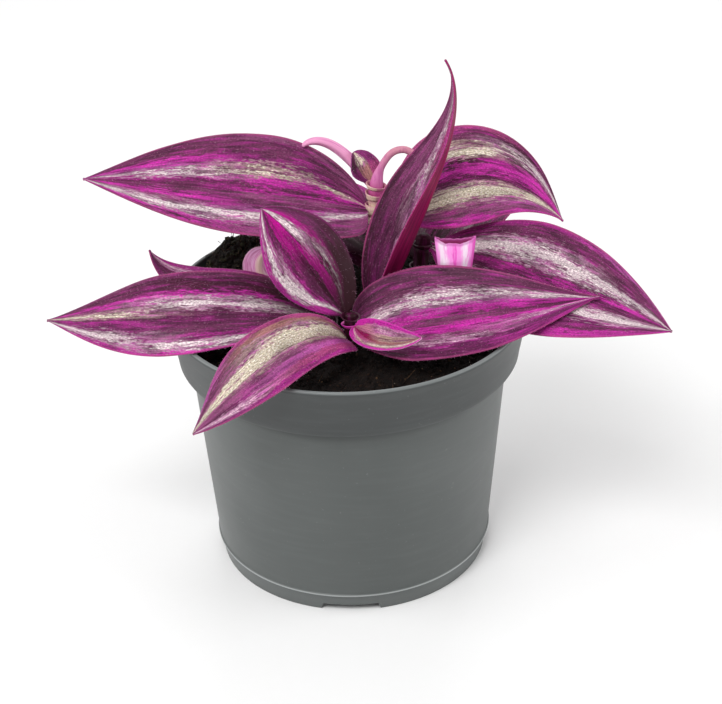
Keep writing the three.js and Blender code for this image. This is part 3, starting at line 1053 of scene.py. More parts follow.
@dataclass(frozen=True)
class Leaf:
    """One leaf, from its sheath round the stem to its tip.

    Azimuth, pitch and roll run along the leaf as Bezier curves, in degrees. A positive roll lifts the
    right margin. Each half leaves the midrib at the fold angle and bends down by the curl. The dimples
    have a height and a count along and across. The veins have a height, a count, and the half width
    from which they are whole, and the groove has a depth and a width.
    """

    name: str
    stem: str
    z: float
    azimuth: tuple[float, ...]
    pitch: tuple[float, ...]
    roll: tuple[float, ...]
    length: float
    width: float
    outline: tuple[float, float, float]
    finish: LeafFinish
    fold: tuple[float, ...] = (15,)
    curl: tuple[float, ...] = (20,)
    right_fold: tuple[float, ...] | None = None
    left_base: float | None = None
    shares: tuple[float, float] = (1.0, 1.0)
    wave: float = 0.45
    waves: float = 2.6
    rows: int = 110
    columns: int = 40
    thickness: float = 0.7
    slot: str = "leaf"
    seed: int = 1
    crowding: float = 1.25
    left_shift: float = 17.3
    dimple: tuple[float, float, float] = (0.22, 9, 3)
    vein: tuple[float, float, float] = (0.05, 7.5, 6.0)
    groove: tuple[float, float] = (0.28, 0.7)
    margin_thinning: float = 0.45
    margin_bulge: float = 0.16
    hair_inside: float = 0.12
    margin_from: float = 0.995

    def frame(self, t: np.ndarray) -> tuple[np.ndarray, np.ndarray, np.ndarray]:
        """Find the leaf's directions.

        Args:
            t: Places along the leaf, from 0 to 1.

        Returns:
            The directions of the midrib, of the leaf's right and of its upper face.
        """
        azimuth, pitch, roll = (np.radians(bezier(v, t)) for v in (self.azimuth, self.pitch, self.roll))
        along = np.stack([np.cos(azimuth) * np.cos(pitch), np.sin(azimuth) * np.cos(pitch), np.sin(pitch)], -1)
        level = np.stack([np.sin(azimuth), -np.cos(azimuth), 0 * azimuth], -1)
        up = np.cross(level, along)
        right = np.cos(roll)[:, None] * level + np.sin(roll)[:, None] * up
        return along, right, np.cross(right, along)

    def midrib(self, stem: Stem, t: np.ndarray, steps: int = 200) -> np.ndarray:
        """Follow the midrib from just outside the stem.

        Args:
            stem: The stem that carries the leaf.
            t: Places along the leaf, from 0 to 1.
            steps: How finely its curve is summed.

        Returns:
            The points.
        """
        azimuth = math.radians(self.azimuth[0])
        reach = stem.radius + ROOT_DEPTH
        root = stem.point(stem.place_at(self.z)) + reach * np.array((math.cos(azimuth), math.sin(azimuth), 0.0))
        along = self.frame((np.arange(steps) + 0.5) / steps)[0]
        points = np.concatenate([np.zeros((1, 3)), np.cumsum(along * self.length / steps, 0)]) + root
        places = np.linspace(0, 1, steps + 1)
        return np.stack([np.interp(t, places, points[:, k]) for k in range(3)], -1)

    def half_width(self, t: np.ndarray, left: bool) -> np.ndarray:
        """Return the width of one half.

        Args:
            t: Places along the leaf, from 0 to 1.
            left: Whether it is the left half.

        Returns:
            The width at each place.
        """
        peak, base, tip = self.outline
        if left and self.left_base is not None:
            base = self.left_base
        rising = np.sin(np.pi / 2 * np.clip(t / peak, 0, 1)) ** base
        falling = np.sin(np.pi / 2 * np.clip((1 - t) / (1 - peak), 0, 1)) ** tip
        least = np.where(t < PETIOLE_END, PETIOLE_HALF_WIDTH, TIP_HALF_WIDTH)
        whole = np.maximum(self.width / 2 * np.where(t < peak, rising, falling), least)
        return whole * self.shares[1 if left else 0]

    def surface(self, stem: Stem) -> tuple[np.ndarray, np.ndarray, np.ndarray]:
        """Shape the surface midway through the blade.

        Args:
            stem: The stem that carries the leaf.

        Returns:
            The points by row and column, each row's place along and each column's place across.
        """
        t = (1 - np.cos(np.pi * np.arange(self.rows + 1) / self.rows)) / 2
        u = np.sin(np.linspace(-1, 1, self.columns + 1) * self.crowding) / math.sin(self.crowding)
        centres = self.midrib(stem, t)
        _, right, face = self.frame(t)
        half = np.where(u[None, :] > 0, self.half_width(t, False)[:, None], self.half_width(t, True)[:, None])
        curl, left_fold, right_fold = (np.radians(bezier(v, t))[:, None]
                                       for v in (self.curl, self.fold, self.right_fold or self.fold))
        fold = np.where(u[None, :] > 0, right_fold, left_fold)
        bent = fold - curl * np.abs(u)[None, :]
        side = np.sign(u)[None, :] * (np.sin(fold) - np.sin(bent)) / curl
        rise = (np.cos(bent) - np.cos(fold)) / curl
        far = np.broadcast_to(np.abs(u)[None, :], rise.shape)
        row = np.broadcast_to(t[:, None], rise.shape)
        lift = half * rise + self.relief(row, far, np.where(u > 0, 0.0, self.left_shift)[None, :], half)
        points = centres[:, None] + right[:, None] * (half * side)[..., None] + face[:, None] * lift[..., None]
        return points, t, u

    def relief(self, row: np.ndarray, far: np.ndarray, shift: np.ndarray, half: np.ndarray) -> np.ndarray:
        """Shape the waves, the dimples, the veins and the groove over the midrib.

        Args:
            row: Each point's place along.
            far: Its place from the midrib to the margin.
            shift: What sets the two halves apart in the ripple.
            half: The width of its half.

        Returns:
            The height of each point.
        """
        ripple = Ripple(self.seed)
        wave = self.wave * ripple.at(row * self.waves * 2 + shift, 0 * row + 3.1) * far ** 2
        high, along, across = self.dimple
        wave = wave + high * ripple.at(row * along + shift, far * across + 9.5) * far
        wave = wave * np.sin(np.pi * row) ** 0.6
        height, count, whole_from = self.vein
        veins = height * np.cos(2 * np.pi * far * count) * np.sin(np.pi * np.clip(row * 1.15, 0, 1))
        depth, wide = self.groove
        groove = -depth * np.exp(-((far * half) / wide) ** 2) * np.sin(np.pi * row) ** 0.5
        return wave + veins * np.clip(half / whole_from, 0, 1) + groove

    def add_blade(self, skin: Skin, stem: Stem) -> None:
        """Add the blade: two faces that meet in a rounded margin.

        Args:
            skin: The mesh that it goes into.
            stem: The stem that carries the leaf.
        """
        points, t, u = self.surface(stem)
        normal = unit(np.cross(np.gradient(points, axis=1), np.gradient(points, axis=0)))
        half = self.thickness / 2 * (1 - self.margin_thinning * np.abs(u)[None, :, None] ** 6)
        places = np.stack(np.broadcast_arrays((u[None, :] + 1) / 2, t[:, None]), -1)
        top = skin.grid(points + normal * half, places, 0)
        bottom = skin.grid(points - normal * half, places, 1, flip=True)
        edge = self.rim_numbers(*points.shape[:2])
        flat = points.reshape(-1, 3)[edge]
        away = unit(np.roll(flat, -1, 0) - np.roll(flat, 1, 0))
        out = np.cross(away, normal.reshape(-1, 3)[edge])
        middle = skin.add(flat + unit(out) * self.margin_bulge, places.reshape(-1, 2)[edge])
        for k, number in enumerate(edge):
            after = (k + 1) % len(edge)
            skin.face((top + number, middle + k, middle + after, top + edge[after]), 0)
            skin.face((middle + k, bottom + number, bottom + edge[after], middle + after), 1)

    @staticmethod
    def rim_numbers(rows: int, columns: int) -> list[int]:
        """Number a grid's outer points.

        Args:
            rows: The grid's rows.
            columns: Its columns.

        Returns:
            The numbers in order, counter-clockwise as seen from above.
        """
        right = [i * columns + columns - 1 for i in range(rows)]
        end = [(rows - 1) * columns + j for j in range(columns - 2, -1, -1)]
        left = [i * columns for i in range(rows - 2, -1, -1)]
        return right + end + left + list(range(1, columns - 1))

    def add_sheath(self, skin: Skin, stem: Stem) -> None:
        """Add the sheath, a thin collar that clasps the stem under the blade.

        Args:
            skin: The mesh that it goes into.
            stem: The stem that carries the leaf.
        """
        steps = np.array([stem.point(place) for place in np.linspace(0, 1, SHEATH_STEPS + 1)])
        length = np.linalg.norm(np.diff(steps, axis=0), axis=1).sum()
        middle = stem.place_at(self.z)
        turn = turns(SHEATH_SIDES)
        rows, places = [], []
        for share, (rise, grow) in enumerate(SHEATH_SECTION):
            place = min(max(middle + rise / length, 0.0), 1.0)
            ring = stem.ring(place, stem.radius_at(place) + grow, sides=SHEATH_SIDES)
            ring[:, 2] += SHEATH_TILT * max(rise, 0.0) * np.cos(turn - math.radians(self.azimuth[0]))
            rows.append(ring)
            up = min(share / SHEATH_MOUTH, 1.0)
            places.append(np.stack([turn / FULL_TURN, np.full(SHEATH_SIDES, up)], -1))
        skin.grid(np.array(rows + rows[:1]), np.array(places + places[:1]), 2, closed=True)

    def build(self, stem: Stem, underside: bpy.types.Material, sheath: bpy.types.Material) -> bpy.types.Object:
        """Make the blade and its sheath.

        Args:
            stem: The stem that carries the leaf.
            underside: The lower face's finish.
            sheath: The sheath's finish.

        Returns:
            The piece.
        """
        skin = Skin()
        self.add_blade(skin, stem)
        self.add_sheath(skin, stem)
        upper = self.finish.material(self.width, self.length)
        piece = skin.build(f"{self.name}_blade", [upper, underside, sheath])
        declare(piece, self.slot, self.name)
        return piece

    def hair_weight(self, count: int) -> np.ndarray:
        """Return where the hairs stand: densely on the margin, sparsely inside.

        Args:
            count: The number of the piece's points.

        Returns:
            The share of hairs at each point.
        """
        u = np.linspace(-1, 1, self.columns + 1)
        face = np.tile(np.where(np.abs(u) > self.margin_from, 1.0, self.hair_inside), self.rows + 1)
        weight = np.zeros(count)
        weight[:len(face)] = face
        rim = 2 * (self.rows + self.columns)
        weight[2 * len(face):2 * len(face) + rim] = 1.0
        return weight


# A sheath's section: the height over the leaf's joint and the distance from the stem's skin, up the
# outside to the mouth, which is the point of that number, and down the inside.
SHEATH_SECTION = ((-1.2, 0.35), (-1.1, 0.62), (-0.6, 0.85), (0.1, 1.0), (1.1, 1.3), (1.22, 1.1), (1.1, 0.85),
                  (0.1, 0.5), (-0.9, 0.34))
SHEATH_MOUTH = 4
SHEATH_SIDES = 36
SHEATH_STEPS = 60
SHEATH_TILT = 0.35

# Both stem finishes are near black low down, below about 100 mm, where the stems stand under the leaves:
# painted shade.
DARK_STEM = StemFinish("stem_dark", "62 night, 104 night, 112 wine")
PINK_STEM = StemFinish("stem_pink", "62 night, 96 night, 109 wine, 113 plum, 116 tan, 119 cream, 122 rose, "
                                    "129 blush, 138 pink", 0.3)

STEMS = {
    "back": Stem("stem_back", 2.3, ((12, 14, 62), (11, 19, 102), (10.2, 21, 122), (11.8, 22, 130.5),
                                    (16, 22.6, 136.5), (20, 22.4, 137.6), (23.5, 21.8, 136)),
                 PINK_STEM, 125.8, 1.2),
    "front": Stem("stem_front", 1.9, ((0, -16, 62), (0.3, -21.5, 88.5), (0.9, -25.2, 96.5), (1, -25.2, 102.3)),
                  DARK_STEM),
    "left": Stem("stem_left", 2.2, ((-7, -6, 62), (-7, -11, 88), (-6.6, -12.8, 94)), DARK_STEM),
    "upright": Stem("stem_upright", 2.2, ((9, -4.6, 62), (8.8, -4.8, 78), (8.5, -5.1, 93)), DARK_STEM),
    "right": Stem("stem_right", 2.5, ((20, 8, 62), (24, 12, 94), (26, 14, 109.5)), DARK_STEM),
    "stub": Stem("stem_stub", 2.2, ((31, -10, 62), (34, -10, 90), (35.2, -10, 108)), DARK_STEM),
    "young": Stem("stem_young", 1.9, ((-12, 9, 62), (-13, 8.7, 88), (-13.4, 8.6, 99.2)), DARK_STEM),
}

# The outline of a leaf that nothing in front shows: its widest place, and how round its base and its tip are.
FULL = (0.42, 0.38, 0.95)

# The leaves' faces: the stripes across each one at its base, then at its tip.

UPPER_LEFT = LeafFinish(
    "leaf_upper_left_face",
    "-0.76 mauve, -0.5 silver, -0.4 orchid, -0.22 brown, -0.03 mauve, 0.03 hot, 0.13 brown, 0.27 hot, "
    "0.44 green, 0.58 purple, 0.9 brown, 1 mauve",
    "-0.93 brown, -0.8 hot, -0.51 silver, -0.4 mauve, -0.24 hot, 0.1 brown, 0.19 magenta, 0.36 silver, "
    "0.48 orchid, 0.62 hot, 1 brown",
    turn=(0.35, 0.7), seed=1.0, silver_green=0.6, arch=0.7)
LOWER_LEFT = LeafFinish(
    "leaf_lower_left_face",
    "-0.92 hot, -0.7 silver, -0.58 magenta, -0.3 brown, -0.06 plum, 0.04 brown, 0.36 silver, 0.48 hot, "
    "0.8 wine, 1 brown",
    "-0.84 magenta, -0.48 silver, -0.38 purple, -0.2 magenta, -0.08 brown, 0.14 green, 0.3 mauve, 0.42 hot, "
    "0.9 brown, 1 mauve",
    turn=(0.42, 0.78), seed=2.0, silver_green=0.45, mottle=0.4, shades=((0.9, 0.36, 0.5), (0.9, 0.26, -0.3)))
BEHIND_LEFT = LeafFinish(
    "leaf_behind_left_face",
    "-0.5 plum, 0 purple, 0.5 plum, 1 purple",
    "-0.5 purple, 0.2 brown, 0.7 shell, 1 magenta",
    seed=3.0, mottle=0.3, depth=0.4)
MIDDLE = LeafFinish(
    "leaf_middle_face",
    "-0.87 magenta, -0.52 silver, -0.42 magenta, -0.12 plum, 0.02 wine, 0.28 blaze, 0.34 wine, 0.52 silver, "
    "0.64 blaze, 1 wine",
    "-0.9 magenta, -0.66 silver, -0.56 magenta, -0.3 plum, 0.12 blaze, 0.18 wine, 0.38 silver, 0.6 blaze, "
    "0.8 purple, 1 plum",
    turn=(0.4, 0.75), seed=4.0, silver_green=0.6, mottle=0.2, margin=Tint.MAGENTA, depth=0.4, arch=1.0,
    wear=0.6, shades=((1.0, 0.7, 0.3), (0.95, 1.3, 0.62), (0.9, 0.1, -0.3)))
OVER_RIM = LeafFinish(
    "leaf_over_rim_face",
    "-0.88 magenta, -0.62 rose, -0.36 orchid, -0.16 mauve, 0.68 green, 0.86 tan, 1 rose",
    "-0.86 purple, -0.6 shell, -0.45 plum, -0.1 mauve, 0.36 green, 0.5 mauve, 0.8 brown, 1 orchid",
    turn=(0.4, 0.85), seed=5.0, silver_green=0.8, mottle=0.35, depth=0.5, wear=0.55, arch=0.1)
FRONT_RIGHT = LeafFinish(
    "leaf_front_right_face",
    "-0.56 brown, -0.3 silver, -0.2 orchid, -0.1 hot, 0.18 mauve, 0.42 hot, 0.5 mauve, 0.66 shell, 0.8 purple, "
    "1 plum",
    "-0.6 brown, -0.36 silver, -0.27 orchid, -0.1 hot, 0.2 brown, 0.29 hot, 0.46 shell, 0.56 hot, 0.8 purple, "
    "1 magenta",
    turn=(0.4, 0.8), seed=6.0, silver_green=0.4, arch=0.4)
RIGHT = LeafFinish(
    "leaf_right_face",
    "-0.9 magenta, -0.64 brown, -0.22 silver, -0.14 brown, -0.02 magenta, 0.14 plum, 0.22 brown, 0.52 silver, "
    "0.72 purple, 1 magenta",
    "-0.92 orchid, -0.54 brown, -0.22 silver, -0.16 brown, -0.02 hot, 0.08 purple, 0.2 brown, 0.54 silver, "
    "0.7 purple, 0.82 brown, 1 hot",
    turn=(0.4, 0.75), seed=7.0, silver_green=0.6, wear=0.55, arch=0.5)
UPPER_RIGHT = LeafFinish(
    "leaf_upper_right_face",
    "-0.92 rose, -0.66 brown, -0.34 green, -0.26 wine, -0.08 hot, 0.12 plum, 0.6 green, 0.86 mauve, 1 hot",
    "-0.92 brown, -0.76 wine, -0.5 silver, -0.4 brown, -0.04 hot, 0.16 plum, 0.56 green, 0.7 orchid, "
    "0.87 mauve, 1 hot",
    turn=(0.45, 0.75), seed=8.0, silver_green=0.8, wear=0.45)
UPRIGHT = LeafFinish(
    "leaf_upright_face",
    "-0.8 wine, -0.5 plum, -0.3 brown, -0.1 shell, -0.02 magenta, 1 purple",
    "-0.85 plum, -0.46 mauve, -0.24 silver, -0.1 rose, 1 magenta",
    turn=(0.25, 0.7), seed=9.0, mottle=0.25, silver_green=0.2, arch=0.2)
BACK_STRIPES = ("-0.84 magenta, -0.64 brown, -0.36 silver, -0.2 hot, 0.18 plum, 0.3 hot, 0.56 silver, "
                "0.76 brown, 1 magenta")
BACK_SHADES = ((0.95, 0.5, -0.3),)
BACK = LeafFinish("leaf_back_face", BACK_STRIPES, BACK_STRIPES, seed=10.0, shades=BACK_SHADES)
BACK_TWO = LeafFinish("leaf_back_second_face", BACK_STRIPES, BACK_STRIPES, seed=12.0, shades=BACK_SHADES)
PALE_STRIPES = "-0.8 hot, -0.4 blush, -0.1 petal, 0.14 cream, 0.5 blush, 0.8 petal, 1 hot"
YOUNG_PALE = LeafFinish("young_leaf_pale_face", PALE_STRIPES, PALE_STRIPES, seed=13.0, mottle=0.25,
                        silver_green=0.2, margin=Tint.HOT, depth=0.1)
ROLLED_STRIPES = "-0.7 blush, -0.2 flush, 0.3 shell, 0.7 flush, 1 blush"
YOUNG_ROLLED = LeafFinish("young_leaf_rolled_face", ROLLED_STRIPES, ROLLED_STRIPES, seed=16.0, mottle=0.25,
                          silver_green=0.1, margin=Tint.ORCHID, depth=0.2)
YOUNG_TROUGH = LeafFinish(
    "young_leaf_trough_face",
    "-0.7 hot, -0.2 pink, 0.25 crimson, 0.6 rose, 0.85 cream, 1 hot",
    "-0.75 hot, -0.3 shell, 0.1 cream, 0.35 tan, 0.85 green, 1 hot",
    turn=(0.2, 0.5), seed=14.0, mottle=0.25, silver_green=0.4, margin=Tint.HOT, depth=0.15)
YOUNG_ROUND = LeafFinish(
    "young_leaf_round_face",
    "-0.5 purple, 0.3 tan, 1 rose",
    "-0.5 wine, 0.3 green, 1 purple",
    seed=15.0, mottle=0.2, silver_green=0.8, margin=Tint.ORCHID)

# The leaves: each one's stem, the height of its joint, its turns, its length and its width.

LEAVES = (
    Leaf("leaf_upper_left", "back", 117.2, (184.4,), (15.3, 9.7, 6), (33.2, 31.5), 94.7, 38.8, (0.38, 0.61, 1),
         UPPER_LEFT, (29, 10.5), left_base=0.15, shares=(1.08, 1.0), seed=11),
    Leaf("leaf_lower_left", "left", 93.3, (201.5, 181.4, 148.5), (27.6, -9, -17.5), (24, 40), 95.3, 30.4,
         (0.51, 0.25, 1.08), LOWER_LEFT, (26.7, -14.7), left_base=0.66, seed=12),
    Leaf("leaf_behind_left", "left", 92.2, (162, 163, 162), (19, 10, 5, -18, 74), (10,), 63.5, 23, FULL,
         BEHIND_LEFT, seed=13),
    Leaf("leaf_middle", "front", 101.2, (133.7, 152.7), (42.6, 40.9), (52.3, 32.1), 43.5, 27.4,
         (0.5, 0.41, 0.74), MIDDLE, (28.4,), left_base=0.7, wave=0.2, seed=14),
    Leaf("leaf_over_rim", "front", 93.6, (226, 236.9, 199.7), (37.2, -12.4, -46.7), (42.5, 6.2), 70, 21.4,
         (0.56, 0.55, 0.82), OVER_RIM, (41, -3.5), left_base=0.15, shares=(1.0, 1.06), seed=15),
    Leaf("leaf_front_right", "front", 90.9, (0.2, -6.8), (18.4, 4.9, 13.2), (-20.4, -60.3), 79.2, 37.5,
         (0.24, 0.63, 1.2), FRONT_RIGHT, (38.2, 21.6), left_base=0.25, wave=0.35, seed=16),
    Leaf("leaf_right", "right", 106.5, (-34, -37, -40), (0, -2, -4), (-42, -34), 91.3, 39, (0.42, 0.8, 0.95),
         RIGHT, seed=17),
    Leaf("leaf_upper_right", "back", 113.6, (4, 2, -8), (26, 60, -47, -51), (-19, -48, -22), 69, 39,
         (0.39, 0.73, 1.14), UPPER_RIGHT, (16,), (18,), seed=18),
    Leaf("leaf_upright", "upright", 90.8, (29.6, 24.1), (59.2, 67.9, 57.2, 65.1, 119.4), (-7.7, -3.8), 90.9,
         31.9, (0.36, 0.4, 2.06), UPRIGHT, (53.6, 40), right_fold=(80, 66.7, 43.7), shares=(0.96, 0.99),
         wave=0.15, seed=19),
    Leaf("leaf_back_left", "back", 100, (120, 132, 140), (26, 2, -22), (0,), 62, 34, FULL, BACK, seed=20),
    Leaf("leaf_back_right", "right", 98.5, (60, 56, 50), (26, 4, -25), (0,), 62, 34, FULL, BACK_TWO, seed=21),
    Leaf("leaf_back", "back", 94, (100, 95, 90), (24, 6, -12), (0,), 42, 28, FULL, BACK, seed=22),
    Leaf("young_leaf_left", "young", 95.5, (188, 186, 180), (-6, -4, 90, 140), (-80,), 25, 12, (0.6, 0.4, 0.5),
         YOUNG_PALE, (30, 20), wave=0.1, rows=60, columns=26, slot="young_leaf", seed=23),
    Leaf("young_leaf_front", "front", 98.8, (-55, -30, -5), (-10, 5, 22), (-40,), 25, 14, (0.4, 0.45, 0.7),
         YOUNG_TROUGH, (40, 30), (-20,), wave=0.1, rows=60, columns=26, slot="young_leaf", seed=24),
    Leaf("young_leaf_rolled", "back", 121.9, (114, 193, 188), (27.2, 58, 52, 48, -36), (-102,), 31.4, 9,
         (0.3, 0.3, 0.4), YOUNG_ROLLED, (10,), (-130,), wave=0.05, rows=80, columns=40, thickness=0.6,
         slot="young_leaf", seed=25),
    Leaf("young_leaf_round", "back", 124.9, (118, 160), (45, 48), (10,), 12, 12, (0.5, 0.6, 0.45), YOUNG_ROUND,
         (20,), wave=0.1, rows=48, columns=26, slot="young_leaf", seed=26),
)


# Sheath stub.


@dataclass(frozen=True)
class SheathStub:
    """The short sheath that is left of a leaf, a flared flat tube with two raised corners."""

    bottom: float = 104.0
    height: float = 16.5
    half_width: float = 6.7
    half_depth: float = 2.1
    flare: float = 0.45
    wall: float = 0.6
    clearance: float = 0.8
    leans_to: float = 107.0
    corner: float = 1.6
    lip_rise: float = 0.18
    pleat: tuple[float, float] = (0.12, 9)
    tears: tuple[tuple[float, float, float], ...] = ((0.12, 7, 1.0), (0.1, 17, 2.3))
    sides: int = 96
    rows: int = 34
    stripes: str = ("0 rose, 0.2 glow, 0.36 milk, 0.47 glow, 0.52 fuchsia, 0.62 glow, 0.72 milk, 0.84 glow, "
                    "1 fuchsia")

    def ring(self, stem: Stem, share: float, inset: float) -> np.ndarray:
        """Lay one ring of the tube.

        Args:
            stem: The stem that carries it.
            share: The ring's share of the tube's height.
            inset: How far it lies inside the outer face.

        Returns:
            The points.
        """
        foot = stem.radius + GAP + self.clearance
        z = self.bottom + share * self.height
        centre = stem.point(stem.place_at(min(z, self.leans_to)))
        turn = turns(self.sides)
        wide = foot + (self.half_width - foot) * share ** self.flare - inset
        deep = foot + (self.half_depth - foot) * share ** 2 - inset
        high, count = self.pleat
        pleat = high * np.cos(turn * count) * share
        lift = share * self.corner * (np.abs(np.cos(turn)) ** 3 - 0.5)
        torn = share ** 6 * sum(high * np.sin(turn * count + start) for high, count, start in self.tears)
        return np.stack([centre[0] + (wide + pleat) * np.cos(turn), centre[1] + (deep + pleat) * np.sin(turn),
                         z + lift + torn], -1)

    def build(self, stem: Stem) -> bpy.types.Object:
        """Make the sheath.

        Args:
            stem: The stem that carries it.

        Returns:
            The piece.
        """
        shares = np.linspace(0, 1, self.rows)
        outer = [self.ring(stem, share, 0.0) for share in shares]
        inner = [self.ring(stem, share, self.wall) for share in shares[::-1]]
        lip = self.ring(stem, 1.0, self.wall / 2) + np.array((0.0, 0.0, self.lip_rise))
        up = np.concatenate([shares, [1.0], shares[::-1], [0.0]])
        around = np.arange(self.sides) / self.sides
        skin = Skin()
        skin.grid(np.array(outer + [lip] + inner + [outer[0]]),
                  np.stack(np.broadcast_arrays(around[None, :], up[:, None]), -1), closed=True)
        finish = SheathFinish("sheath_stub_face", self.stripes, Tint.ORCHID, 0.12)
        piece = skin.build("sheath_stub_skin", [finish.material()])
        declare(piece, "sheath", "sheath_stub")
        return piece


# Pot and soil.


@dataclass(frozen=True)
class Pot:
    """A thin-walled pot with a stepped collar, a raised ring near the foot and a notched foot ring."""

    sides: int = 224
    notch_count: int = 4
    notch_width: float = 20.0
    notch_top: float = 18.4
    notch_height: float = 2.5
    notch_turn: float = -1.9
    drain_count: int = 8
    drain_radius: float = 4.0
    drain_circle: float = 33.0
    drain_sides: int = 40
    sharp_from: float = 38.0

    def shell(self) -> bpy.types.Object:
        """Turn the section round the axis, with a single point at each pole.

        Returns:
            The pot before it is cut.
        """
        skin = Skin()
        angles = turns(self.sides)
        starts = []
        for radius, z in POT_OUTSIDE + POT_INSIDE + POT_UNDER:
            count = self.sides if radius else 1
            starts.append((skin.add(circle(radius, z, angles)[:count]), count))
        for (a, n), (b, m) in zip(starts, starts[1:] + starts[:1]):
            for j in range(self.sides if n > 1 or m > 1 else 0):
                k = (j + 1) % self.sides
                if n == 1:
                    skin.face((a, b + k, b + j))
                elif m == 1:
                    skin.face((a + j, a + k, b))
                else:
                    skin.face((a + j, a + k, b + k, b + j))
        return skin.build("pot_shell", [PotFinish().material()])

    def cutters(self) -> bpy.types.Object:
        """Make the notches and the drain holes as closed blocks.

        Returns:
            One object that holds them all.
        """
        skin = Skin()
        wide, narrow, high = self.notch_width / 2, self.notch_top / 2, self.notch_height
        section = ((-wide, -1), (wide, -1), (wide, 0), (narrow, high), (-narrow, high), (-wide, 0))
        inner, outer = FOOT_RADIUS * 0.8, FOOT_RADIUS + 4
        block = np.array([[(x, -radius, z) for x, z in section] for radius in (inner, outer)])
        for i in range(self.notch_count):
            turn = math.radians(self.notch_turn) + i * FULL_TURN / self.notch_count
            cos, sin = math.cos(turn), math.sin(turn)
            skin.tube(block @ np.array(((cos, sin, 0), (-sin, cos, 0), (0, 0, 1))))
        angles = turns(self.drain_sides)
        low, top = FLOOR_BOTTOM - 2, FLOOR_BOTTOM + 4
        hole = np.array([circle(self.drain_radius, z, angles) for z in (low, top)])
        skin.tube(hole)
        for i in range(self.drain_count):
            turn = (i + 0.5) * FULL_TURN / self.drain_count
            skin.tube(hole + self.drain_circle * np.array((math.cos(turn), math.sin(turn), 0.0)))
        return skin.build("pot_cutters", [])

    def build(self) -> bpy.types.Object:
        """Make the pot.

        Returns:
            The piece.
        """
        shell, cutters = self.shell(), self.cutters()
        cut = shell.modifiers.new("Cut", "BOOLEAN")
        cut.operation = "DIFFERENCE"
        cut.object = cutters
        cut.solver = "EXACT"
        piece = baked(shell, "pot_wall")
        bpy.data.objects.remove(cutters)
        piece.data.set_sharp_from_angle(angle=math.radians(self.sharp_from))
        declare(piece, "pot_plastic", "pot")
        return piece


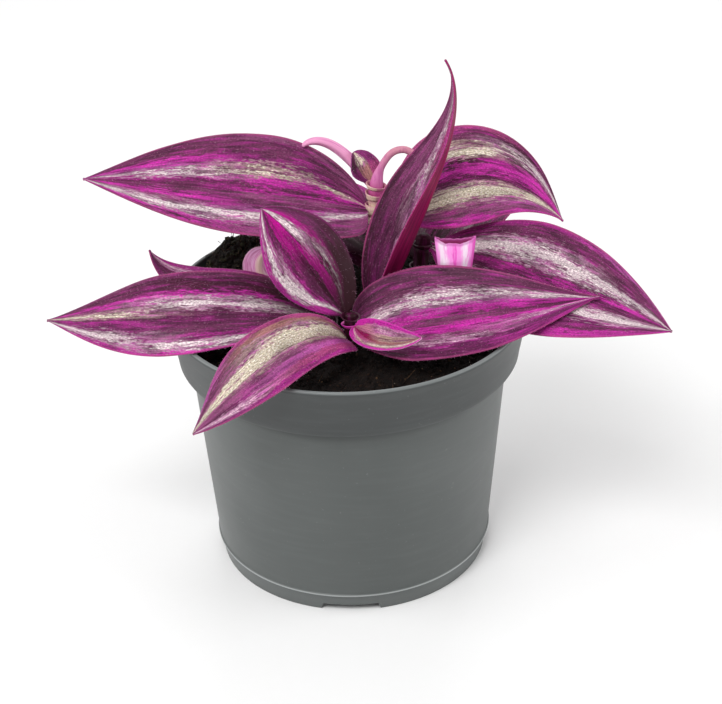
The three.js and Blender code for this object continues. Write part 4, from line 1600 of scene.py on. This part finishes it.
@dataclass(frozen=True)
class Soil:
    """The peat that fills the pot: rough and heaped up at the heart and toward the back left."""

    sides: int = 260
    rings: int = 105
    heart: tuple[float, float] = (4.0, 26.0)
    mound: tuple[float, float] = (-37.5, 33.0)
    mound_rise: float = 14.5
    mound_spread: float = 15.0
    crumbled: tuple[float, float] = (1.6, 13.0)
    crumbs: tuple[tuple[float, float, int], ...] = ((3.6, 0.75, 3), (1.7, 0.55, 4), (0.8, 0.32, 5))
    crumb_place: tuple[float, float] = (31.0, 47.0)
    lattice: int = 97
    ring_crowding: float = 0.9
    smooth_rings: int = 6
    least_rough: float = 0.25
    strewn_spread: float = 20.0
    strewn_radius: float = 55.5
    strewn_above: float = SOIL_LEVEL - 3

    def on_mound(self, x: np.ndarray, y: np.ndarray, spread: float) -> np.ndarray:
        """Tell how near each point is to the mound.

        Args:
            x: The points' x.
            y: Their y.
            spread: How far the mound is felt.

        Returns:
            The nearness, 1 at the mound's middle.
        """
        return np.exp(-((x - self.mound[0]) ** 2 + (y - self.mound[1]) ** 2) / spread ** 2)

    def height(self, x: np.ndarray, y: np.ndarray) -> np.ndarray:
        """Find the soil's height without its crumbs.

        Args:
            x: The points' x.
            y: Their y.

        Returns:
            The height at each point.
        """
        rise, spread = self.heart
        heart = rise * np.exp(-(x * x + y * y) / spread ** 2)
        return SOIL_LEVEL + heart + self.mound_rise * self.on_mound(x, y, self.mound_spread)

    def rough(self, x: np.ndarray, y: np.ndarray) -> np.ndarray:
        """Find the height of the crumbs.

        Args:
            x: The points' x.
            y: Their y.

        Returns:
            The height at each point.
        """
        more, spread = self.crumbled
        heap = 1 + more * self.on_mound(x, y, spread)
        right, back = self.crumb_place
        return heap * sum(high * Ripple(seed, self.lattice).at(x / wide + right, y / wide + back)
                          for wide, high, seed in self.crumbs)

    def edge(self) -> float:
        """Return the radius at which the soil meets the wall."""
        (foot, low), (rim, high) = SOIL_WALL[-1], RIM_INSIDE
        return foot + (rim - foot) * (SOIL_LEVEL - low) / (high - low) - GAP

    def build(self) -> bpy.types.Object:
        """Make the soil as one closed mass.

        Returns:
            The piece.
        """
        angles = turns(self.sides)
        rows = [circle(radius - GAP, z + GAP, angles) for radius, z in SOIL_WALL]
        for i in range(self.rings):
            row = circle(self.edge() * (1 - i / self.rings) ** self.ring_crowding, 0.0, angles)
            x, y = row[:, 0], row[:, 1]
            share = min(1.0, self.least_rough + i / self.smooth_rings)
            row[:, 2] = self.height(x, y) + self.rough(x, y) * share
            rows.append(row)
        skin = Skin()
        skin.tube(np.array(rows))
        piece = skin.build("soil_mass", [EarthFinish("soil_peat").material()])
        declare(piece, "soil", "soil")
        return piece

    def strew(self, soil: bpy.types.Object) -> None:
        """Strew crumbs, fibres and specks over the soil.

        Args:
            soil: The soil's piece.
        """
        points = np.empty(len(soil.data.vertices) * 3, dtype=np.float32)
        soil.data.vertices.foreach_get("co", points)
        x, y, z = points.reshape(-1, 3).T / MM
        bare = ((z > self.strewn_above) & (np.hypot(x, y) < self.strewn_radius)).astype(float)
        mound = self.on_mound(x, y, self.strewn_spread)
        crumb = EarthFinish("soil_crumb", Tint.PEAT, Tint.LOAM, 0.7).material()
        chip = EarthFinish("soil_chip", Tint.LOAM, Tint.STRAW, 0.7).material()
        speck = EarthFinish("soil_speck", Tint.STRAW, Tint.CHALK, 0.8).material()
        heap = EarthFinish("soil_heap", Tint.PEAT, Tint.MOSS, 0.9).material()
        gathered, strayed = bare * mound ** 1.5, bare * (0.25 + 3 * mound)

        # Each one's name, shape, density, size, stretch, seed, tilt and jitter, where it lies and its finish.
        for *numbers, weight, finish in (
                ("soil_crumbs", Shape.GRAIN, 150000.0, 1.7, 0.8, 3, 3.0, 1.3, bare, crumb),
                ("soil_clods", Shape.GRAIN, 420000.0, 2.3, 0.8, 17, 3.0, 2.2, gathered, heap),
                ("soil_grains", Shape.GRAIN, 330000.0, 0.85, 0.8, 5, 3.0, 0.6, bare, crumb),
                ("soil_chips", Shape.GRAIN, 26000.0, 0.8, 1.6, 8, 3.0, 0.5, bare, chip),
                ("soil_specks", Shape.GRAIN, 12000.0, 0.5, 1.2, 11, 3.0, 0.2, bare, speck),
                ("soil_fibres", Shape.FIBRE, 26000.0, 1.5, 3.4, 13, 1.4, 2.6, strayed, chip)):
            Scatter(*numbers).build(soil, weight, finish, "soil")


# Scattered pieces.


class Shape(Enum):
    """The shapes that are strewn, each a cone's sides and the radius of its end, or a ball."""

    GRAIN = None
    FIBRE = (4, 0.05)
    HAIR = (3, 0.0)


@dataclass(frozen=True)
class Scatter:
    """Small grains, fibres or hairs that a node tree strews over a host surface.

    The density is for a square metre, the size and the jitter are in millimetres, the stretch is along
    the piece and the tilt is in radians.
    """

    name: str
    shape: Shape
    density: float
    size: float
    stretch: float
    seed: int
    tilt: float
    jitter: float
    thickness: float = 0.05
    sizes: tuple[float, float] = (0.45, 1.25)
    unevenness: float = 900.0

    def tree(self, material: bpy.types.Material) -> bpy.types.NodeTree:
        """Build the node tree.

        Args:
            material: The finish of the strewn pieces.

        Returns:
            The tree, with its sizes as named inputs.
        """
        tree = bpy.data.node_groups.new(self.name, "GeometryNodeTree")
        numbers = [(title, "INPUT", "Float") for title in ("Density", "Size", "Stretch", "Tilt", "Jitter")]
        for title, way, kind in (("Surface", "INPUT", "Geometry"), *numbers, ("Seed", "INPUT", "Int"),
                                 ("Pieces", "OUTPUT", "Geometry")):
            tree.interface.new_socket(name=title, in_out=way, socket_type=f"NodeSocket{kind}")
        sheet = NodeSheet(tree)
        given = sheet.node("NodeGroupInput").outputs
        share = sheet.value("GeometryNodeInputNamedAttribute", {0: "strewn"}, data_type="FLOAT")
        points = sheet.node("GeometryNodeDistributePointsOnFaces", {
            "Mesh": given["Surface"], "Density": share * given["Density"], "Seed": given["Seed"]}).outputs
        if self.shape is Shape.GRAIN:
            shape = sheet.value("GeometryNodeMeshIcoSphere", {"Radius": 0.5, "Subdivisions": 1})
        else:
            sides, tip = self.shape.value
            shape = sheet.value("GeometryNodeMeshCone", {"Vertices": sides, "Radius Top": tip,
                                                         "Radius Bottom": self.thickness, "Depth": 1.0})

        # A random turn and size for each piece.
        reach = sheet.value("ShaderNodeCombineXYZ", {0: given["Tilt"], 1: given["Tilt"], 2: math.pi})
        back = sheet.value("ShaderNodeVectorMath", {0: reach, 1: (-1.0, -1.0, -1.0)}, operation="MULTIPLY")
        tilt = sheet.value("FunctionNodeRandomValue", {"Min": back, "Max": reach, "Seed": 7},
                           data_type="FLOAT_VECTOR")
        turned = sheet.value("FunctionNodeRotateRotation", {0: points["Rotation"], 1: tilt},
                             rotation_space="LOCAL")
        least, most = self.sizes
        varied = sheet.value("FunctionNodeRandomValue", {2: least, 3: most, "Seed": 19}, 1, data_type="FLOAT")
        size = varied * given["Size"]
        scale = sheet.value("ShaderNodeCombineXYZ", {0: size, 1: size, 2: size * given["Stretch"]})
        strewn = sheet.value("GeometryNodeInstanceOnPoints", {"Points": points["Points"], "Instance": shape,
                                                              "Rotation": turned, "Scale": scale})
        real = sheet.value("GeometryNodeRealizeInstances", {0: strewn})

        # The jitter that makes every piece uneven.
        uneven = sheet.value("ShaderNodeTexNoise", {"Vector": sheet.value("GeometryNodeInputPosition"),
                                                    "Scale": self.unevenness, "Detail": 2.0}, 1)
        shift = sheet.value("ShaderNodeVectorMath", {0: uneven, 1: (0.5, 0.5, 0.5)}, operation="SUBTRACT")
        moved = sheet.value("ShaderNodeVectorMath", {0: shift, "Scale": given["Jitter"]}, operation="SCALE")
        bent = sheet.value("GeometryNodeSetPosition", {"Geometry": real, "Offset": moved})
        dressed = sheet.value("GeometryNodeSetMaterial", {"Geometry": bent, "Material": material})
        sheet.node("NodeGroupOutput", {0: dressed})
        return tree

    def build(self, host: bpy.types.Object, weight: np.ndarray, finish: bpy.types.Material,
              slot: str) -> bpy.types.Object:
        """Strew the pieces over a host.

        Args:
            host: The object whose surface carries them.
            weight: The share of the density at each of the host's points.
            finish: The material of the pieces.
            slot: Their finish slot.

        Returns:
            The strewn pieces as one plain mesh.
        """
        mesh = host.data.copy()
        mesh.attributes.new("strewn", "FLOAT", "POINT").data.foreach_set("value", weight.astype(np.float32))
        carrier = shown(f"{self.name}_carrier", mesh)
        modifier = carrier.modifiers.new("Scatter", "NODES")
        modifier.node_group = self.tree(finish)
        values = {"Density": self.density, "Size": self.size * MM, "Stretch": self.stretch, "Tilt": self.tilt,
                  "Jitter": self.jitter * MM, "Seed": self.seed}
        for item in modifier.node_group.interface.items_tree:
            if item.in_out == "INPUT" and item.name in values:
                modifier[item.identifier] = values[item.name]
        piece = baked(carrier, self.name)
        piece.data.materials.clear()
        piece.data.materials.append(finish)
        declare(piece, slot)
        return piece


# Studio.


@dataclass(frozen=True)
class Studio:
    """The floor, the lights and the camera. Lamps and their places are in metres and watts."""

    distance: float = 700.0
    elevation: float = 30.4
    aim: tuple[float, float, float] = (4.0, 0.0, 73.5)
    roll: float = -1.45
    focal: float = 2075.0
    picture_width: int = 722
    sensor_width: float = 36.0
    floor_reach: float = 4000.0
    sky: float = 0.42
    lit: tuple[float, float, float] = (0.0, 0.0, 0.09)
    lamps: tuple[tuple[str, tuple[float, float, float], float, float], ...] = (
        ("key", (-0.35, -0.75, 1.15), 0.6, 11.0), ("left", (-1.1, -0.1, 0.5), 0.8, 5.5),
        ("right", (1.1, -0.1, 0.45), 0.8, 6.0), ("rear", (0.1, 0.9, 0.9), 0.7, 4.0))

    def camera(self) -> None:
        """Place the camera where the picture was taken from."""
        data = bpy.data.cameras.new("view")
        data.sensor_fit = "HORIZONTAL"
        data.sensor_width = self.sensor_width
        data.lens = self.focal * self.sensor_width / self.picture_width
        data.clip_start = 0.01
        rise, turn = math.radians(self.elevation), math.radians(self.roll)
        back = Vector((0.0, -math.cos(rise), math.sin(rise)))
        right = Vector((1.0, 0.0, 0.0))
        up = back.cross(right)
        x = math.cos(turn) * right + math.sin(turn) * up
        y = -math.sin(turn) * right + math.cos(turn) * up
        matrix = Matrix((x, y, back)).transposed().to_4x4()
        matrix.translation = Vector(self.aim) * MM + back * self.distance * MM
        camera = shown("view", data)
        camera.matrix_world = matrix
        bpy.context.scene.camera = camera

    def lamp(self, name: str, place: tuple[float, float, float], size: float, power: float) -> None:
        """Add a square soft light that looks at the plant.

        Args:
            name: The lamp's name.
            place: Where it stands.
            size: The length of its side.
            power: Its power.
        """
        data = bpy.data.lights.new(name, "AREA")
        data.shape = "SQUARE"
        data.size = size
        data.energy = power
        turn = (Vector(self.lit) - Vector(place)).to_track_quat("-Z", "Y").to_matrix().to_4x4()
        shown(name, data).matrix_world = Matrix.Translation(place) @ turn

    def floor(self) -> None:
        """Lay the pale floor."""
        reach = self.floor_reach
        skin = Skin()
        skin.grid(np.array([[(-reach, y, 0.0), (reach, y, 0.0)] for y in (-reach, reach)]))
        skin.build("floor", [PlainFinish("floor_paper", Tint.FLOOR).material()])

    def build(self) -> None:
        """Set up the whole studio."""
        self.camera()
        self.floor()
        for lamp in self.lamps:
            self.lamp(*lamp)
        world = bpy.data.worlds.new("studio")
        world.use_nodes = True
        background = world.node_tree.nodes["Background"]
        background.inputs["Color"].default_value = (1.0, 1.0, 1.0, 1.0)
        background.inputs["Strength"].default_value = self.sky
        bpy.context.scene.world = world
        bpy.context.scene.view_settings.view_transform = "Standard"


# The whole plant.


class Plant:
    """The potted plant, built in order from the pot up."""

    def __init__(self) -> None:
        """Make the finishes that several leaves share."""
        self.underside = UndersideFinish("leaf_underside", Tint.CRIMSON, Tint.GARNET, Tint.RASPBERRY, 0.35,
                                         Tint.CRIMSON).material()
        self.young_underside = UndersideFinish("young_underside", Tint.PETAL, Tint.BLUSH, Tint.SHELL, 0.5,
                                               Tint.CREAM).material()
        self.rolled_underside = UndersideFinish("rolled_underside", Tint.FLUSH, Tint.BLUSH, Tint.SHELL, 0.4,
                                                Tint.FLUSH).material()
        self.rose_sheath = SheathFinish("sheath_rose", "-0.5 rose, 0 pink, 0.5 magenta, 1 rose").material()
        self.cream_sheath = SheathFinish("sheath_cream", "-0.5 pink, 0 tan, 0.5 cream, 1 pink",
                                         Tint.PINK).material()
        # The lower sheaths are near black with wine stripes: painted shade, where they lie under the leaves.
        self.dark_sheath = SheathFinish("sheath_wine", "-0.5 night, 0 wine, 0.5 night, 1 wine", Tint.WINE,
                                        0.1).material()
        self.hair = PlainFinish("leaf_hair", Tint.SHELL, 0.6).material()

    def sheath_for(self, leaf: Leaf) -> bpy.types.Material:
        """Choose the sheath's finish: cream at the top of the back stem, where it shows.

        Args:
            leaf: The leaf.

        Returns:
            The finish.
        """
        if leaf.stem == "back" and leaf.z > CREAM_FROM:
            return self.cream_sheath
        return self.rose_sheath if leaf.slot == "young_leaf" else self.dark_sheath

    def underside_for(self, leaf: Leaf) -> bpy.types.Material:
        """Choose the underside's finish.

        Args:
            leaf: The leaf.

        Returns:
            The finish.
        """
        if leaf.name == "young_leaf_rolled":
            return self.rolled_underside
        return self.young_underside if leaf.slot == "young_leaf" else self.underside

    def build(self) -> None:
        """Build every piece."""
        Pot().build()
        soil = Soil()
        soil.strew(soil.build())
        for key, stem in STEMS.items():
            stem.build(tuple(leaf.z for leaf in LEAVES if leaf.stem == key))
        for leaf in LEAVES:
            blade = leaf.build(STEMS[leaf.stem], self.underside_for(leaf), self.sheath_for(leaf))
            hairs = Scatter(f"{leaf.name}_hairs", Shape.HAIR, density=6.0e6, size=0.5, stretch=1.0,
                            seed=leaf.seed, tilt=0.6, jitter=0.0)
            hairs.build(blade, leaf.hair_weight(len(blade.data.vertices)), self.hair, leaf.slot)
        SheathStub().build(STEMS["stub"])


def main() -> None:
    """Build the scene."""
    logging.basicConfig(level=logging.INFO, format="%(message)s")
    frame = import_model()
    LOG.info("the frame holds %d nodes", len(frame["nodes"]))
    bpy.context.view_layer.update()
    Studio().build()
    Plant().build()


if __name__ == "__main__":
    main()
